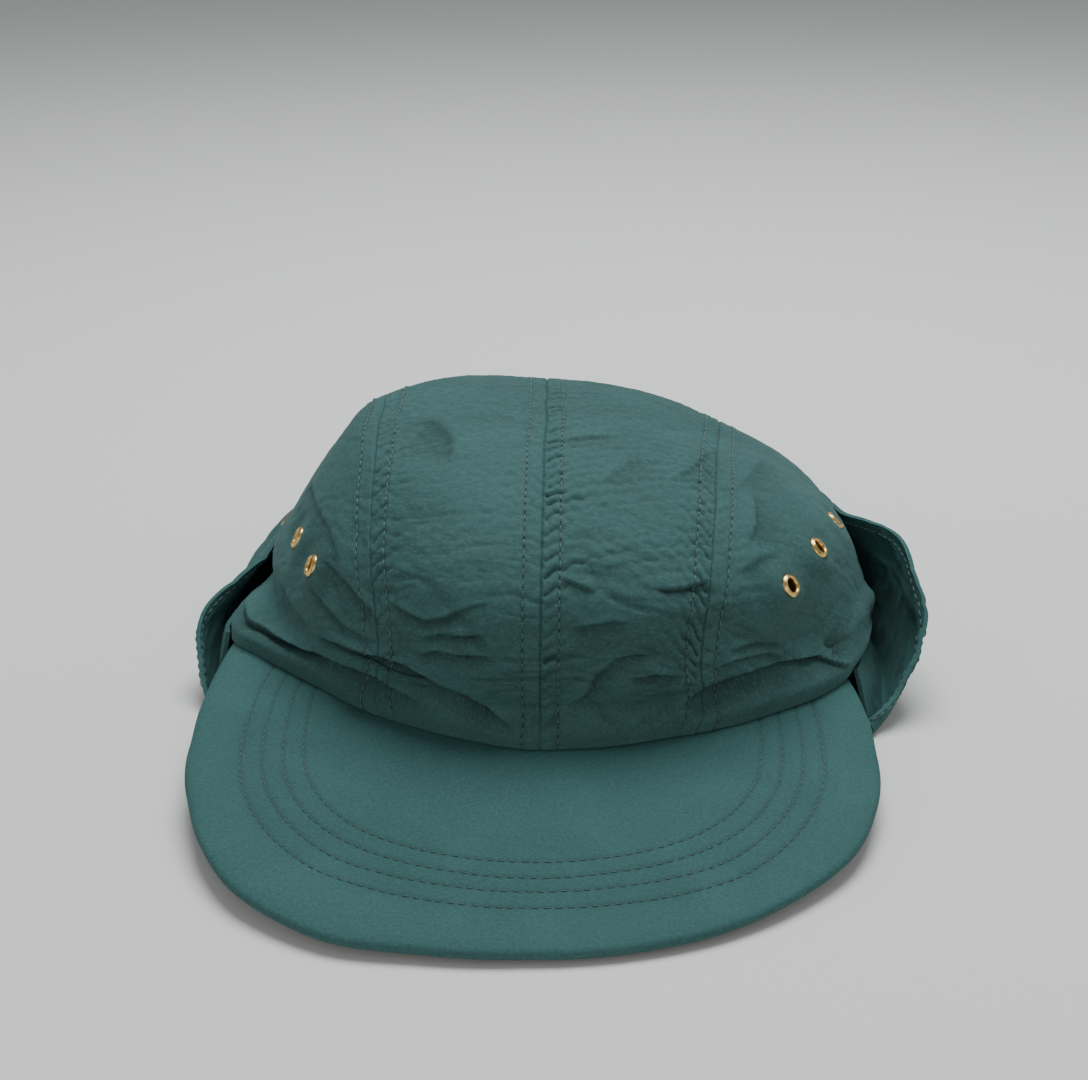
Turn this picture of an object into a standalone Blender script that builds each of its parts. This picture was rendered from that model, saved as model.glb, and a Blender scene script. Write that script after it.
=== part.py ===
"""Soft long-bill cap with an ear and neck flap turned up round it, lying on its hem.

Metres, +Z up. The bill points to -Y and the cap stands on z = 0, with the middle of its box at the
origin. The crown is drawn flat first, on a disc: the disc's rim is the hem, its middle is the top,
`across` runs from the left to the right and `along` from the front to the back.
"""

import bisect
import math
from collections import namedtuple

import bpy
from mathutils import Matrix, Vector

# Cloth and clearances
CLOTH = 0.0016
GAP = 0.0003
SEAM_GAP = 0.0006

# How finely the cloth is netted
STRIP_COLUMNS = 9
STRIP_ROWS = 36
PANEL_COLUMNS = 32
PANEL_ROWS = 12
BILL_COLUMNS = 40
BILL_ROWS = 4
FLAP_COLUMNS = 52
EYELET_STEPS = 12

# Crown
CROWN_WIDTH = 0.190
CROWN_LENGTH = 0.178
CROWN_HEIGHT = 0.0825
CROWN_X = -0.0073
CROWN_Y = 0.0387
CROWN_LEAN_X = -0.0105
CROWN_LEAN_Y = -0.0098
HEM_BAND = 0.0045
SWELL_CLIMB = 13
SEAM_DIP = 0.0010
SEAM_DIP_WIDTH = 0.004
DISC_SHARE = 0.55
PUFF = 0.0016
PUFF_WIDTH = 0.012
FOLD_DEPTH = 0.004

# Bill
BILL_WIDTH = 0.187
BILL_REACH = 0.075
BILL_THICKNESS = 0.003
BILL_EDGE_ROUND = 0.0011
BILL_FRONT_HEIGHT = 0.0040
BILL_SLOPE = 0.118
BILL_ROLL = -0.0159
SEAM_ALLOWANCE = 0.006
BILL_CORNER_LEFT = 64
BILL_CORNER_RIGHT = 57.5
BILL_TURN_LEFT = 124.5
BILL_TURN_RIGHT = 116.5

# Flap
FLAP_HEIGHT = 0.048
FLAP_CLOTH = 0.0016
FLAP_START = 59
FLAP_END = 294.5
FLAP_LEAD = 2.8
FLAP_CLEARANCE = 0.0012

# Eyelets
EYELET_WIDTH = 0.0074
EYELET_HOLE = 0.0040
EYELET_BARREL = 0.0052
EYELET_RIM = 0.0008
EYELET_LIFT = 0.0005

# The crown's outline at each climb from hem (0) to top (90), in degrees: left and right are shares
# of half the crown's width, front and back shares of half its length.
Ring = namedtuple("Ring", "climb left right front back")
RINGS = [
    Ring(0, 0.94, 1.04, 1.067, 0.933),
    Ring(8, 0.875, 1.11, 1.073, 0.955),
    Ring(15, 0.858, 1.061, 1.075, 0.97),
    Ring(30, 0.746, 0.995, 1.0, 0.925),
    Ring(45, 0.632, 0.823, 0.845, 0.795),
    Ring(60, 0.53, 0.577, 0.615, 0.575),
    Ring(75, 0.43, 0.31, 0.325, 0.34),
    Ring(90, 0.0, 0.0, 0.0, 0.0),
]
SQUARENESS = {"front_left": 2.3, "front_right": 2.4, "back": 2.25}

# How far the hem swells beyond the plain ring, by the turn from the front, to the right, in degrees
Hem = namedtuple("Hem", "turn fullness")
HEM = [
    Hem(-180, 1.0),
    Hem(-90, 1.0),
    Hem(-76, 1.03),
    Hem(-64, 1.085),
    Hem(-57, 1.027),
    Hem(-48, 0.970),
    Hem(-39, 0.945),
    Hem(-25, 0.947),
    Hem(-12, 0.969),
    Hem(0, 1.0),
    Hem(12, 0.992),
    Hem(23, 0.978),
    Hem(40, 0.997),
    Hem(57, 1.051),
    Hem(72, 1.020),
    Hem(90, 1.0),
    Hem(180, 1.0),
]
HEM_FALL = 42

# The seams' places in plan, left and right of the crown's middle, in shares of half its width, by
# the way from the front hem (0) to the back hem (1)
Seams = namedtuple("Seams", "way left centre right")
PANEL_TURNED = 0.20
SEAMS = [
    Seams(0.0, -0.452, 0.022, 0.474),
    Seams(0.15, -0.455, 0.026, 0.484),
    Seams(0.26, -0.455, 0.030, 0.494),
    Seams(0.36, -0.470, 0.032, 0.520),
    Seams(0.44, -0.479, 0.032, 0.556),
    Seams(0.5, -0.489, 0.029, 0.581),
    Seams(0.58, -0.497, 0.024, 0.615),
    Seams(0.76, -0.480, 0.012, 0.585),
    Seams(1.0, -0.430, 0.0, 0.450),
]

# Folds of the crown, from one place on the disc to another, as shares of its radius; depth is a
# share of the fold depth, and below 0 the cloth stands up
Fold = namedtuple("Fold", "from_across from_along to_across to_along width depth")
FOLDS = [
    Fold(-0.78, -0.42, -0.62, -0.59, 0.060, 0.9),
    Fold(-0.62, -0.59, -0.43, -0.77, 0.060, 1.0),
    Fold(-0.49, -0.62, -0.31, -0.73, 0.055, 0.5),
    Fold(-0.31, -0.73, -0.08, -0.92, 0.055, 0.7),
    Fold(-0.29, -0.56, -0.17, -0.62, 0.060, 0.4),
    Fold(-0.17, -0.62, 0.00, -0.57, 0.060, 0.4),
    Fold(-0.12, -0.05, -0.07, -0.21, 0.070, 0.4),
    Fold(0.11, -0.88, 0.18, -0.74, 0.055, 0.7),
    Fold(0.18, -0.74, 0.32, -0.65, 0.055, 0.7),
    Fold(0.27, -0.50, 0.34, -0.46, 0.060, 0.3),
    Fold(0.28, -0.21, 0.34, -0.10, 0.060, 0.4),
    Fold(0.48, -0.79, 0.58, -0.62, 0.060, 0.7),
    Fold(0.58, -0.62, 0.72, -0.53, 0.065, 1.0),
    Fold(0.72, -0.53, 0.82, -0.53, 0.060, 0.7),
    Fold(-0.46, -0.56, -0.42, -0.68, 0.060, 0.3),
    Fold(-0.80, 0.05, -0.62, 0.46, 0.080, 0.7),
    Fold(0.84, 0.02, 0.66, 0.44, 0.080, 0.7),
    Fold(-0.28, 0.80, 0.20, 0.84, 0.080, 0.7),
    Fold(-0.10, 0.50, 0.34, 0.62, 0.080, 0.5),
]

# The bill's outline by the turn from its tip, as shares of half its width and of its reach
Edge = namedtuple("Edge", "turn left right")
BILL_EDGE = [
    Edge(0, 1.0, 1.0),
    Edge(15, 1.023, 1.003),
    Edge(30, 1.068, 1.008),
    Edge(45, 1.060, 1.006),
    Edge(60, 1.024, 1.012),
    Edge(75, 0.999, 1.003),
    Edge(90, 1.0, 1.002),
    Edge(105, 1.04, 1.036),
    Edge(117, 1.11, 1.088),
    Edge(125, 1.18, 1.12),
]

# The flap from the bill's right corner round the back to its left corner, by the turn from the
# front: how far its fold stands outside the hem, how far its rim stands away from the crown beyond
# the least clearance, and the rim's height, in flap heights
Flap = namedtuple("Flap", "turn fold_out stand rim_height")
FLAP = [
    Flap(59, 0.18, 0.11, 0.09),
    Flap(62, 0.19, 0.19, 0.13),
    Flap(65, 0.19, 0.265, 0.24),
    Flap(69, 0.18, 0.335, 0.47),
    Flap(73, 0.17, 0.30, 0.66),
    Flap(78, 0.17, 0.285, 0.81),
    Flap(84, 0.16, 0.26, 0.855),
    Flap(90, 0.15, 0.12, 0.845),
    Flap(95, 0.14, 0.0, 0.79),
    Flap(105, 0.14, 0.0, 0.745),
    Flap(118, 0.14, 0.0, 0.79),
    Flap(135, 0.15, 0.02, 0.91),
    Flap(180, 0.17, 0.07, 1.0),
    Flap(220, 0.16, 0.04, 0.94),
    Flap(250, 0.15, 0.0, 0.80),
    Flap(264, 0.15, 0.0, 0.68),
    Flap(273, 0.15, 0.0, 0.64),
    Flap(278, 0.16, 0.07, 0.62),
    Flap(282, 0.17, 0.16, 0.555),
    Flap(285.5, 0.18, 0.24, 0.46),
    Flap(289.5, 0.19, 0.23, 0.28),
    Flap(294.5, 0.18, 0.17, 0.09),
]

# A flap section from the hem (0) to the rim (1): how far outside the hem, and how high
Section = namedtuple("Section", "share out height")
FOLD_SHARE = 0.28

# Eyelets on the disc
Eyelet = namedtuple("Eyelet", "name across along")
EYELETS = [
    Eyelet("eyelet_right_front", 0.502, -0.439),
    Eyelet("eyelet_right_middle", 0.557, -0.310),
    Eyelet("eyelet_right_back", 0.622, -0.155),
    Eyelet("eyelet_left_front", -0.492, -0.449),
    Eyelet("eyelet_left_middle", -0.571, -0.331),
    Eyelet("eyelet_left_back", -0.685, -0.140),
]


def read(table, column, at):
    """Value of a table's column, smoothly joined between its rows and level past its ends."""
    keys = [row[0] for row in table]
    values = [getattr(row, column) for row in table]
    if at <= keys[0]:
        return values[0]
    if at >= keys[-1]:
        return values[-1]
    first = bisect.bisect_right(keys, at) - 1
    step = keys[first + 1] - keys[first]
    share = (at - keys[first]) / step
    rise = (values[first + 1] - values[first]) / step

    def slope(row):
        if row == 0 or row == len(keys) - 1:
            return rise
        before = (values[row] - values[row - 1]) / (keys[row] - keys[row - 1])
        after = (values[row + 1] - values[row]) / (keys[row + 1] - keys[row])
        if before * after <= 0:
            return 0.0
        return 2 * before * after / (before + after)

    start = slope(first) * step
    end = slope(first + 1) * step
    gain = values[first + 1] - values[first]
    return (
        values[first]
        + start * share
        + (3 * gain - 2 * start - end) * share**2
        + (start + end - 2 * gain) * share**3
    )


def ease(at, start, end):
    """0 before start, 1 after end, smooth between them."""
    share = min(max((at - start) / (end - start), 0.0), 1.0)
    return share * share * (3 - 2 * share)


def ring_reach(turn, climb):
    """Plan distance from the crown's middle to its plain ring at this climb."""
    right = math.sin(math.radians(turn))
    back = -math.cos(math.radians(turn))
    side = read(RINGS, "left" if right < 0 else "right", climb) * CROWN_WIDTH / 2
    end = read(RINGS, "front" if back < 0 else "back", climb) * CROWN_LENGTH / 2
    if back >= 0:
        power = SQUARENESS["back"]
    else:
        power = SQUARENESS["front_left" if right < 0 else "front_right"]
    if min(side, end) <= 0:
        return 0.0
    return (abs(right / side) ** power + abs(back / end) ** power) ** (-1 / power)


def hem_reach(turn):
    """Plan distance from the crown's middle to the outside of its hem."""
    return ring_reach(turn, 0) * read(HEM, "fullness", turn)


def plan_point(turn, reach):
    angle = math.radians(turn)
    return CROWN_X + reach * math.sin(angle), CROWN_Y - reach * math.cos(angle)


def seam_foot_y():
    """Where the centre seam meets the bill."""
    return CROWN_Y - hem_reach(0)


def bill_top(x, y):
    """Height of the bill's upper face."""
    front = seam_foot_y() - BILL_REACH
    return BILL_FRONT_HEIGHT + BILL_SLOPE * (y - front) + BILL_ROLL * (x - CROWN_X)


def hem_height(turn):
    """Height of the hem: on the bill between the bill's corners, down to the table behind them."""
    x, y = plan_point(turn, hem_reach(turn) - CLOTH)
    corner = BILL_CORNER_LEFT if turn < 0 else BILL_CORNER_RIGHT
    fall = 1 - ease(abs(turn), corner + 3, corner + HEM_FALL)
    return (bill_top(x, y) + GAP) * fall


def band_climb():
    """Climb in degrees at the top of the upright hem band."""
    return math.degrees(math.asin(HEM_BAND / CROWN_HEIGHT))


def crown_out(turn, height):
    """How far outside its hem the crown stands at this height, puffed cloth included."""
    foot = hem_height(turn)
    if height <= foot:
        return 0.0
    lift = min((height - foot) / (CROWN_HEIGHT - foot), 1.0)
    climb = math.degrees(math.asin(lift))
    swell = ease(climb, band_climb(), SWELL_CLIMB)
    angle = math.radians(turn)
    lean = CROWN_LEAN_X * math.sin(angle) - CROWN_LEAN_Y * math.cos(angle)
    gain = ring_reach(turn, climb) + lean * lift**2 + PUFF - hem_reach(turn)
    return gain * swell


def crown_base(across, along):
    """Outside of the crown before its folds, from a place on the disc."""
    spread = min(math.hypot(across, along), 1.0)
    turn = math.degrees(math.atan2(across, -along))
    climb = 90 * (1 - spread)
    swell = ease(climb, band_climb(), SWELL_CLIMB)
    reach = hem_reach(turn) * (1 - swell) + ring_reach(turn, max(climb, 0.0)) * swell
    x, y = plan_point(turn, reach)
    foot = hem_height(turn)
    lift = math.sin(math.radians(climb))
    z = foot + (CROWN_HEIGHT - foot) * lift
    return Vector((x + CROWN_LEAN_X * lift**2 * swell, y + CROWN_LEAN_Y * lift**2 * swell, z))


def crown_normal(across, along):
    step = 0.004
    way_across = crown_base(across + step, along) - crown_base(across - step, along)
    way_along = crown_base(across, along + step) - crown_base(across, along - step)
    return way_across.cross(way_along).normalized()


def disc_point(across, way, radius=1.0):
    """Place on the disc at this share of the way from the front rim to the back rim."""
    half = math.sqrt(max(radius**2 - across**2, 0.0))
    return across, -math.cos(math.pi * way) * half


Place = namedtuple("Place", "way across")


def lay_seam(side):
    """A seam's places across the disc: where the crown's plan meets the seam's line."""
    line = []
    for step in range(25):
        way = step / 24
        target = CROWN_X + read(SEAMS, side, way) * CROWN_WIDTH / 2
        low, high = -0.95, 0.95
        for _ in range(18):
            middle = (low + high) / 2
            if crown_base(*disc_point(middle, way)).x < target:
                low = middle
            else:
                high = middle
        line.append(Place(way, (low + high) / 2))
    return line


def seam_across(side, way):
    return read(SEAM_LINES[side], "across", way)


SEAM_LINES = {side: lay_seam(side) for side in ("left", "centre", "right")}


def way_at(across, along):
    """Share of the way from the front rim to the back rim, the inverse of disc_point."""
    half = math.sqrt(max(1 - across**2, 1e-9))
    return math.acos(min(max(-along / half, -1.0), 1.0)) / math.pi


def seam_distance(across, along):
    """Distance over the cloth to the nearest seam."""
    way = way_at(across, along)
    gaps = [abs(across - seam_across(side, way)) for side in SEAM_LINES]
    return min(gaps) * CROWN_WIDTH * DISC_SHARE


def fold_depth(across, along):
    """How deep the folds draw the cloth in at a place on the disc."""
    deepest = 0.0
    place = Vector((across, along))
    for fold in FOLDS:
        start = Vector((fold.from_across, fold.from_along))
        run = Vector((fold.to_across, fold.to_along)) - start
        share = min(max((place - start).dot(run) / run.length_squared, 0.0), 1.0)
        away = (place - start - run * share).length / fold.width
        deepest = max(deepest, fold.depth * FOLD_DEPTH * math.exp(-(away**2)))
    return deepest


def relief(across, along):
    """Height over the base: cloth puffed between the seams, drawn in at them, and folded."""
    distance = seam_distance(across, along)
    height = PUFF * (1 - math.exp(-distance / PUFF_WIDTH))
    height -= SEAM_DIP * math.exp(-((distance / SEAM_DIP_WIDTH) ** 2))
    height -= fold_depth(across, along)
    climb = 90 * (1 - min(math.hypot(across, along), 1.0))
    return height * ease(climb, band_climb(), band_climb() + 7)


def crown_point(across, along):
    height = relief(across, along)
    if height == 0:
        return crown_base(across, along)
    return crown_base(across, along) + crown_normal(across, along) * height


def mesh_object(name, points, faces, material, collection):
    """An object from a net of points, with doubled points merged."""
    mesh = bpy.data.meshes.new(name)
    mesh.from_pydata(points, [], faces)
    thing = bpy.data.objects.new(name, mesh)
    collection.objects.link(thing)
    mesh.materials.append(material)
    return thing


def net(rows):
    """Points and quads of rows of points of equal length; a quad with merged corners is a triangle."""
    index = {}
    points = []

    def number(point):
        key = tuple(round(value, 7) for value in point)
        if key not in index:
            index[key] = len(points)
            points.append(point)
        return index[key]

    numbers = [[number(point) for point in row] for row in rows]
    faces = []
    for lower, upper in zip(numbers, numbers[1:]):
        for left in range(len(lower) - 1):
            corners = [lower[left], lower[left + 1], upper[left + 1], upper[left]]
            corners = list(dict.fromkeys(corners))
            if len(corners) > 2:
                faces.append(corners)
    return points, faces


def thicken(thing, thickness, offset):
    """Give an open cloth its thickness."""
    solidify = thing.modifiers.new("Thickness", "SOLIDIFY")
    solidify.thickness = thickness
    solidify.offset = offset
    return solidify


def clustered(count):
    """Shares from 0 to 1, closer together at both ends."""
    return [(1 - math.cos(math.pi * step / count)) / 2 for step in range(count + 1)]


def half_seam_gap():
    """Half the gap along a seam, as a share of the disc's radius."""
    return SEAM_GAP / CROWN_WIDTH


def centre_strip(name, left, right, material, collection):
    """A strip of the crown between two seams, from the front hem to the back hem."""
    inner = 1 - band_climb() / 90
    ways = [step / STRIP_ROWS for step in range(STRIP_ROWS + 1)]
    rings = [(0.0, 1.0)] + [(way, inner) for way in ways] + [(1.0, 1.0)]
    rows = []
    for way, radius in rings:
        start = seam_across(left, way) + half_seam_gap()
        end = seam_across(right, way) - half_seam_gap()
        row = []
        for share in clustered(STRIP_COLUMNS):
            across, along = disc_point(start + (end - start) * share, way, radius)
            row.append(crown_point(across, along))
        rows.append(row)
    points, faces = net(rows)
    strip = mesh_object(name, points, faces, material, collection)
    thicken(strip, CLOTH, -1)
    return strip


def side_net(side, outward):
    """Rows of disc places of a side panel, from its hem up to its seam.

    The seam's first and last stretches are the panel's front and back edges, so that the panel is a
    four-sided patch, filled in between its edges.
    """
    inner = 1 - band_climb() / 90

    def seam(way):
        across = seam_across(side, way) + outward * half_seam_gap()
        return Vector(disc_point(across, way, inner))

    def rim(share, radius):
        front = seam_across(side, 0) + outward * half_seam_gap()
        back = seam_across(side, 1) + outward * half_seam_gap()
        start = math.acos(min(abs(front) / radius, 1.0))
        end = math.acos(min(abs(back) / radius, 1.0))
        angle = -start + (start + end) * share
        return Vector((outward * radius * math.cos(angle), radius * math.sin(angle)))

    rows = [[rim(step / PANEL_COLUMNS, 1.0) for step in range(PANEL_COLUMNS + 1)]]
    for level in range(PANEL_ROWS + 1):
        up = level / PANEL_ROWS
        row = []
        for step in range(PANEL_COLUMNS + 1):
            share = step / PANEL_COLUMNS
            bottom = rim(share, inner)
            top = seam(PANEL_TURNED + (1 - 2 * PANEL_TURNED) * share)
            front = seam(PANEL_TURNED * up)
            back = seam(1 - PANEL_TURNED * up)
            sides = front * (1 - share) + back * share
            ends = bottom * (1 - up) + top * up
            corners = (rim(0, inner) * (1 - share) + rim(1, inner) * share) * (1 - up)
            corners += (seam(PANEL_TURNED) * (1 - share) + seam(1 - PANEL_TURNED) * share) * up
            row.append(sides + ends - corners)
        rows.append(row)
    return rows


def side_panel(name, side, outward, material, collection):
    rows = [[crown_point(*place) for place in row] for row in side_net(side, outward)]
    if outward > 0:
        rows = [row[::-1] for row in rows]
    points, faces = net([row[::-1] for row in rows])
    panel = mesh_object(name, points, faces, material, collection)
    thicken(panel, CLOTH, -1)
    return panel


def bill_edge_point(turn):
    """Point of the bill's outline, by the turn from its tip, to the right."""
    fullness = read(BILL_EDGE, "left" if turn < 0 else "right", abs(turn))
    angle = math.radians(turn)
    x = CROWN_X + fullness * math.sin(angle) * BILL_WIDTH / 2
    y = seam_foot_y() - fullness * math.cos(angle) * BILL_REACH
    return Vector((x, y, bill_top(x, y)))


def bill(material, collection):
    """The bill, from under the crown's front hem to its rounded edge."""
    rows = []
    for level in range(BILL_ROWS + 1):
        out = level / BILL_ROWS
        row = []
        for step in range(BILL_COLUMNS + 1):
            share = step / BILL_COLUMNS
            turn = -BILL_CORNER_LEFT + (BILL_CORNER_LEFT + BILL_CORNER_RIGHT) * share
            x, y = plan_point(turn, hem_reach(turn) - SEAM_ALLOWANCE)
            inner = Vector((x, y, bill_top(x, y)))
            outer = bill_edge_point(-BILL_TURN_LEFT + (BILL_TURN_LEFT + BILL_TURN_RIGHT) * share)
            row.append(inner.lerp(outer, out))
        rows.append(row[::-1])
    points, faces = net(rows)
    thing = mesh_object("bill", points, faces, material, collection)
    thicken(thing, BILL_THICKNESS, -1)
    rounding = thing.modifiers.new("Edge", "BEVEL")
    rounding.width = BILL_EDGE_ROUND
    rounding.segments = 2
    rounding.limit_method = "ANGLE"
    rounding.angle_limit = math.radians(50)
    return thing


def flap_section(turn):
    """Points of the flap's middle face at one turn: from the hem, out to the fold, up to the rim."""
    signed = turn if turn <= 180 else turn - 360
    half = FLAP_CLOTH / 2
    foot = hem_height(signed)
    fold_out = read(FLAP, "fold_out", turn) * FLAP_HEIGHT
    rim_height = read(FLAP, "rim_height", turn) * FLAP_HEIGHT
    stand = read(FLAP, "stand", turn) * FLAP_HEIGHT
    rim_out = crown_out(signed, rim_height) + half + FLAP_CLEARANCE + stand
    steep = foot / math.hypot(foot, fold_out)
    line = [
        Section(0.0, GAP + half * steep, foot + half),
        Section(FOLD_SHARE, fold_out, half),
        Section(0.60, (max(fold_out, rim_out) + fold_out) / 2 + half, rim_height * 0.45),
        Section(1.0, rim_out, rim_height),
    ]
    from_end = min(turn - FLAP_START, FLAP_END - turn)
    lead = FLAP_LEAD * (1 - ease(from_end, 0, 20)) * (1 if signed < 0 else -1)
    points = []
    for share in (0.0, 0.14, FOLD_SHARE, 0.38, 0.48, 0.60, 0.73, 0.86, 1.0):
        moved = signed + lead * min(share / FOLD_SHARE, 1.0)
        out = read(line, "out", share)
        height = read(line, "height", share)
        if share > FOLD_SHARE:
            out = max(out, crown_out(signed, height) + half + FLAP_CLEARANCE)
        x, y = plan_point(moved, hem_reach(signed) + out)
        points.append(Vector((x, y, height)))
    return points


def flap(material, collection):
    """The ear and neck flap, one band from the bill's right corner round to its left corner."""
    shares = clustered_ends(FLAP_COLUMNS)
    turns = [FLAP_START + (FLAP_END - FLAP_START) * share for share in shares]
    rows = [flap_section(turn) for turn in turns]
    points, faces = net(rows)
    thing = mesh_object("flap", points, faces, material, collection)
    thicken(thing, FLAP_CLOTH, 0)
    return thing


def clustered_ends(count):
    """Shares from 0 to 1, twice as close at both ends as in the middle."""
    steps = [step / count for step in range(count + 1)]
    return [step - 0.5 * math.sin(2 * math.pi * step) / (2 * math.pi) for step in steps]


def eyelet_frame(eyelet):
    """Placement of an eyelet: +Z out of the cloth."""
    place = crown_point(eyelet.across, eyelet.along)
    normal = crown_normal(eyelet.across, eyelet.along)
    return Matrix.Translation(place) @ normal.to_track_quat("Z", "Y").to_matrix().to_4x4()


def eyelet_body(eyelet, material, collection):
    """A brass eyelet turned from its half section."""
    outer = EYELET_WIDTH / 2
    bore = EYELET_HOLE / 2
    barrel = EYELET_BARREL / 2
    top = EYELET_LIFT + EYELET_RIM
    under = -CLOTH - EYELET_RIM
    profile = [
        (bore, under),
        (bore, EYELET_LIFT + EYELET_RIM * 0.5),
        ((bore + outer) / 2, top),
        (outer, EYELET_LIFT + EYELET_RIM * 0.5),
        (outer - EYELET_RIM * 0.3, EYELET_LIFT),
        (barrel, EYELET_LIFT),
        (barrel, under),
    ]
    mesh = bpy.data.meshes.new(eyelet.name)
    points = [(radius, 0, height) for radius, height in profile]
    edges = [(step, (step + 1) % len(points)) for step in range(len(points))]
    mesh.from_pydata(points, edges, [])
    mesh.materials.append(material)
    thing = bpy.data.objects.new(eyelet.name, mesh)
    collection.objects.link(thing)
    thing.matrix_world = eyelet_frame(eyelet)
    screw = thing.modifiers.new("Turn", "SCREW")
    screw.steps = EYELET_STEPS
    screw.render_steps = EYELET_STEPS
    screw.use_merge_vertices = True
    screw.merge_threshold = 0.00005
    return thing


def punch(panel, eyelet, collection):
    """Cut an eyelet's hole through a side panel."""
    bpy.ops.mesh.primitive_cylinder_add(
        vertices=EYELET_STEPS, radius=EYELET_BARREL / 2 + GAP, depth=CLOTH * 6
    )
    cutter = bpy.context.active_object
    cutter.name = "punch_" + eyelet.name
    for holder in list(cutter.users_collection):
        holder.objects.unlink(cutter)
    collection.objects.link(cutter)
    cutter.matrix_world = eyelet_frame(eyelet)
    cutter.hide_render = True
    cutter.display_type = "WIRE"
    cut = panel.modifiers.new("Hole", "BOOLEAN")
    cut.operation = "DIFFERENCE"
    cut.solver = "EXACT"
    cut.object = cutter


def material(name, colour, roughness, metallic):
    made = bpy.data.materials.new(name)
    made.use_nodes = True
    shader = made.node_tree.nodes["Principled BSDF"]
    shader.inputs["Base Color"].default_value = (*colour, 1.0)
    shader.inputs["Roughness"].default_value = roughness
    shader.inputs["Metallic"].default_value = metallic
    made.diffuse_color = (*colour, 1.0)
    return made


def new_collection(name):
    made = bpy.data.collections.new(name)
    bpy.context.scene.collection.children.link(made)
    return made


def main():
    for thing in list(bpy.data.objects):
        bpy.data.objects.remove(thing, do_unlink=True)
    cap = new_collection("long_bill_cap")
    cutters = new_collection("cutters")
    crown_cloth = material("crown_cloth", (0.045, 0.110, 0.105), 0.62, 0.0)
    bill_cloth = material("bill_cloth", (0.055, 0.150, 0.145), 0.62, 0.0)
    flap_cloth = material("flap_cloth", (0.040, 0.100, 0.100), 0.62, 0.0)
    brass = material("brass", (0.65, 0.45, 0.16), 0.30, 1.0)

    centre_strip("crown_centre_left", "left", "centre", crown_cloth, cap)
    centre_strip("crown_centre_right", "centre", "right", crown_cloth, cap)
    panels = {
        "left": side_panel("crown_side_left", "left", -1, crown_cloth, cap),
        "right": side_panel("crown_side_right", "right", 1, crown_cloth, cap),
    }
    bill(bill_cloth, cap)
    flap(flap_cloth, cap)
    for eyelet in EYELETS:
        eyelet_body(eyelet, brass, cap)
        punch(panels["left" if eyelet.across < 0 else "right"], eyelet, cutters)


main()
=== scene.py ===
"""Looks of a soft long-bill cap: its cloth crown, stitched bill, turned-up flap and brass eyelets.

Metres, +Z up, in the part's frame. The crown is drawn flat on a disc, as in the part's source: the
disc's rim is the hem, its middle is the top, `across` runs from left to right and `along` from front
to back. Everything works on whole arrays of places, so a net of cloth is one call.
"""

import math
from collections import namedtuple

import bpy
import numpy as np
from mathutils import Matrix, Vector
from mathutils.kdtree import KDTree


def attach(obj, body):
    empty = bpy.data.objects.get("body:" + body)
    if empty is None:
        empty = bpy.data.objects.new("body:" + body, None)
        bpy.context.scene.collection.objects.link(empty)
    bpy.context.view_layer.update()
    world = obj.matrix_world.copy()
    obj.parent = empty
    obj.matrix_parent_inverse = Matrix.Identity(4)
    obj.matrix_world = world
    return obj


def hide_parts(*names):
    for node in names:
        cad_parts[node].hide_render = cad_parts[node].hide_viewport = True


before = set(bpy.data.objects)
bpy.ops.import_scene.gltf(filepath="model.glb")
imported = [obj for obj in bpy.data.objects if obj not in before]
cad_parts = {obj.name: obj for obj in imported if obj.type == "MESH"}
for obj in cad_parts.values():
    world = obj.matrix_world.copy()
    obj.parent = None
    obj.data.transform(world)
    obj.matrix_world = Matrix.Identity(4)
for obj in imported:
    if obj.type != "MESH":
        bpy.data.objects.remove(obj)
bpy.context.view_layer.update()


def table(columns, rows):
    """A small table's rows, each with its columns by name."""
    row = namedtuple("Row", columns)
    return [row(*values) for values in rows]


MM = 0.001

# Cloth of the crown, and the gap between the crown and the bill or the flap
CLOTH = 0.0012
GAP = 0.0003

# Crown, as in the part: its hem, its top, how far its top leans, and its upright hem band
CROWN_WIDTH = 0.190
CROWN_LENGTH = 0.178
CROWN_HEIGHT = 0.0825
CROWN_X = -0.0073
CROWN_Y = 0.0387
CROWN_LEAN_X = -0.0105
CROWN_LEAN_Y = -0.0098
HEM_BAND = 0.0045
HEM_CLIMB = math.degrees(math.asin(HEM_BAND / CROWN_HEIGHT))
SWELL_CLIMB = 13
HEM_WALL = 0.0016
HEM_FALL_START = 3
HEM_FALL = 42

# Metres of cloth from the disc's middle to its rim, the disc's radius at the hem band's top, and
# steps on the disc for normals
DISC_RADIUS = 0.105
INNER_RADIUS = 1 - HEM_CLIMB / 90
NORMAL_STEP = 0.004
STITCH_NORMAL_STEP = 0.006

# How far the cloth puffs out between the seams, and how deep the folds draw it in
PUFF = 0.0016
PUFF_WIDTH = 0.012
PUFF_START = 0.003
FOLD_DEPTH = 0.0012

# Seams of the crown: the line itself, the stitches beside it, and the turned cloth between them
SEAM_DEPTH = 0.00026
SEAM_WIDTH = 0.00038
STITCH_AWAY = 0.0049
STITCH_DENT = 0.00030
STITCH_DENT_WIDTH = 0.0006
ALLOWANCE_LIFT = 0.00035
ALLOWANCE_START = 0.0005
ALLOWANCE_END = (STITCH_AWAY + 0.0004, STITCH_AWAY + 0.0018)
SEAM_POINTS = 1600
SEAM_BAND_POINTS = 60

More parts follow.
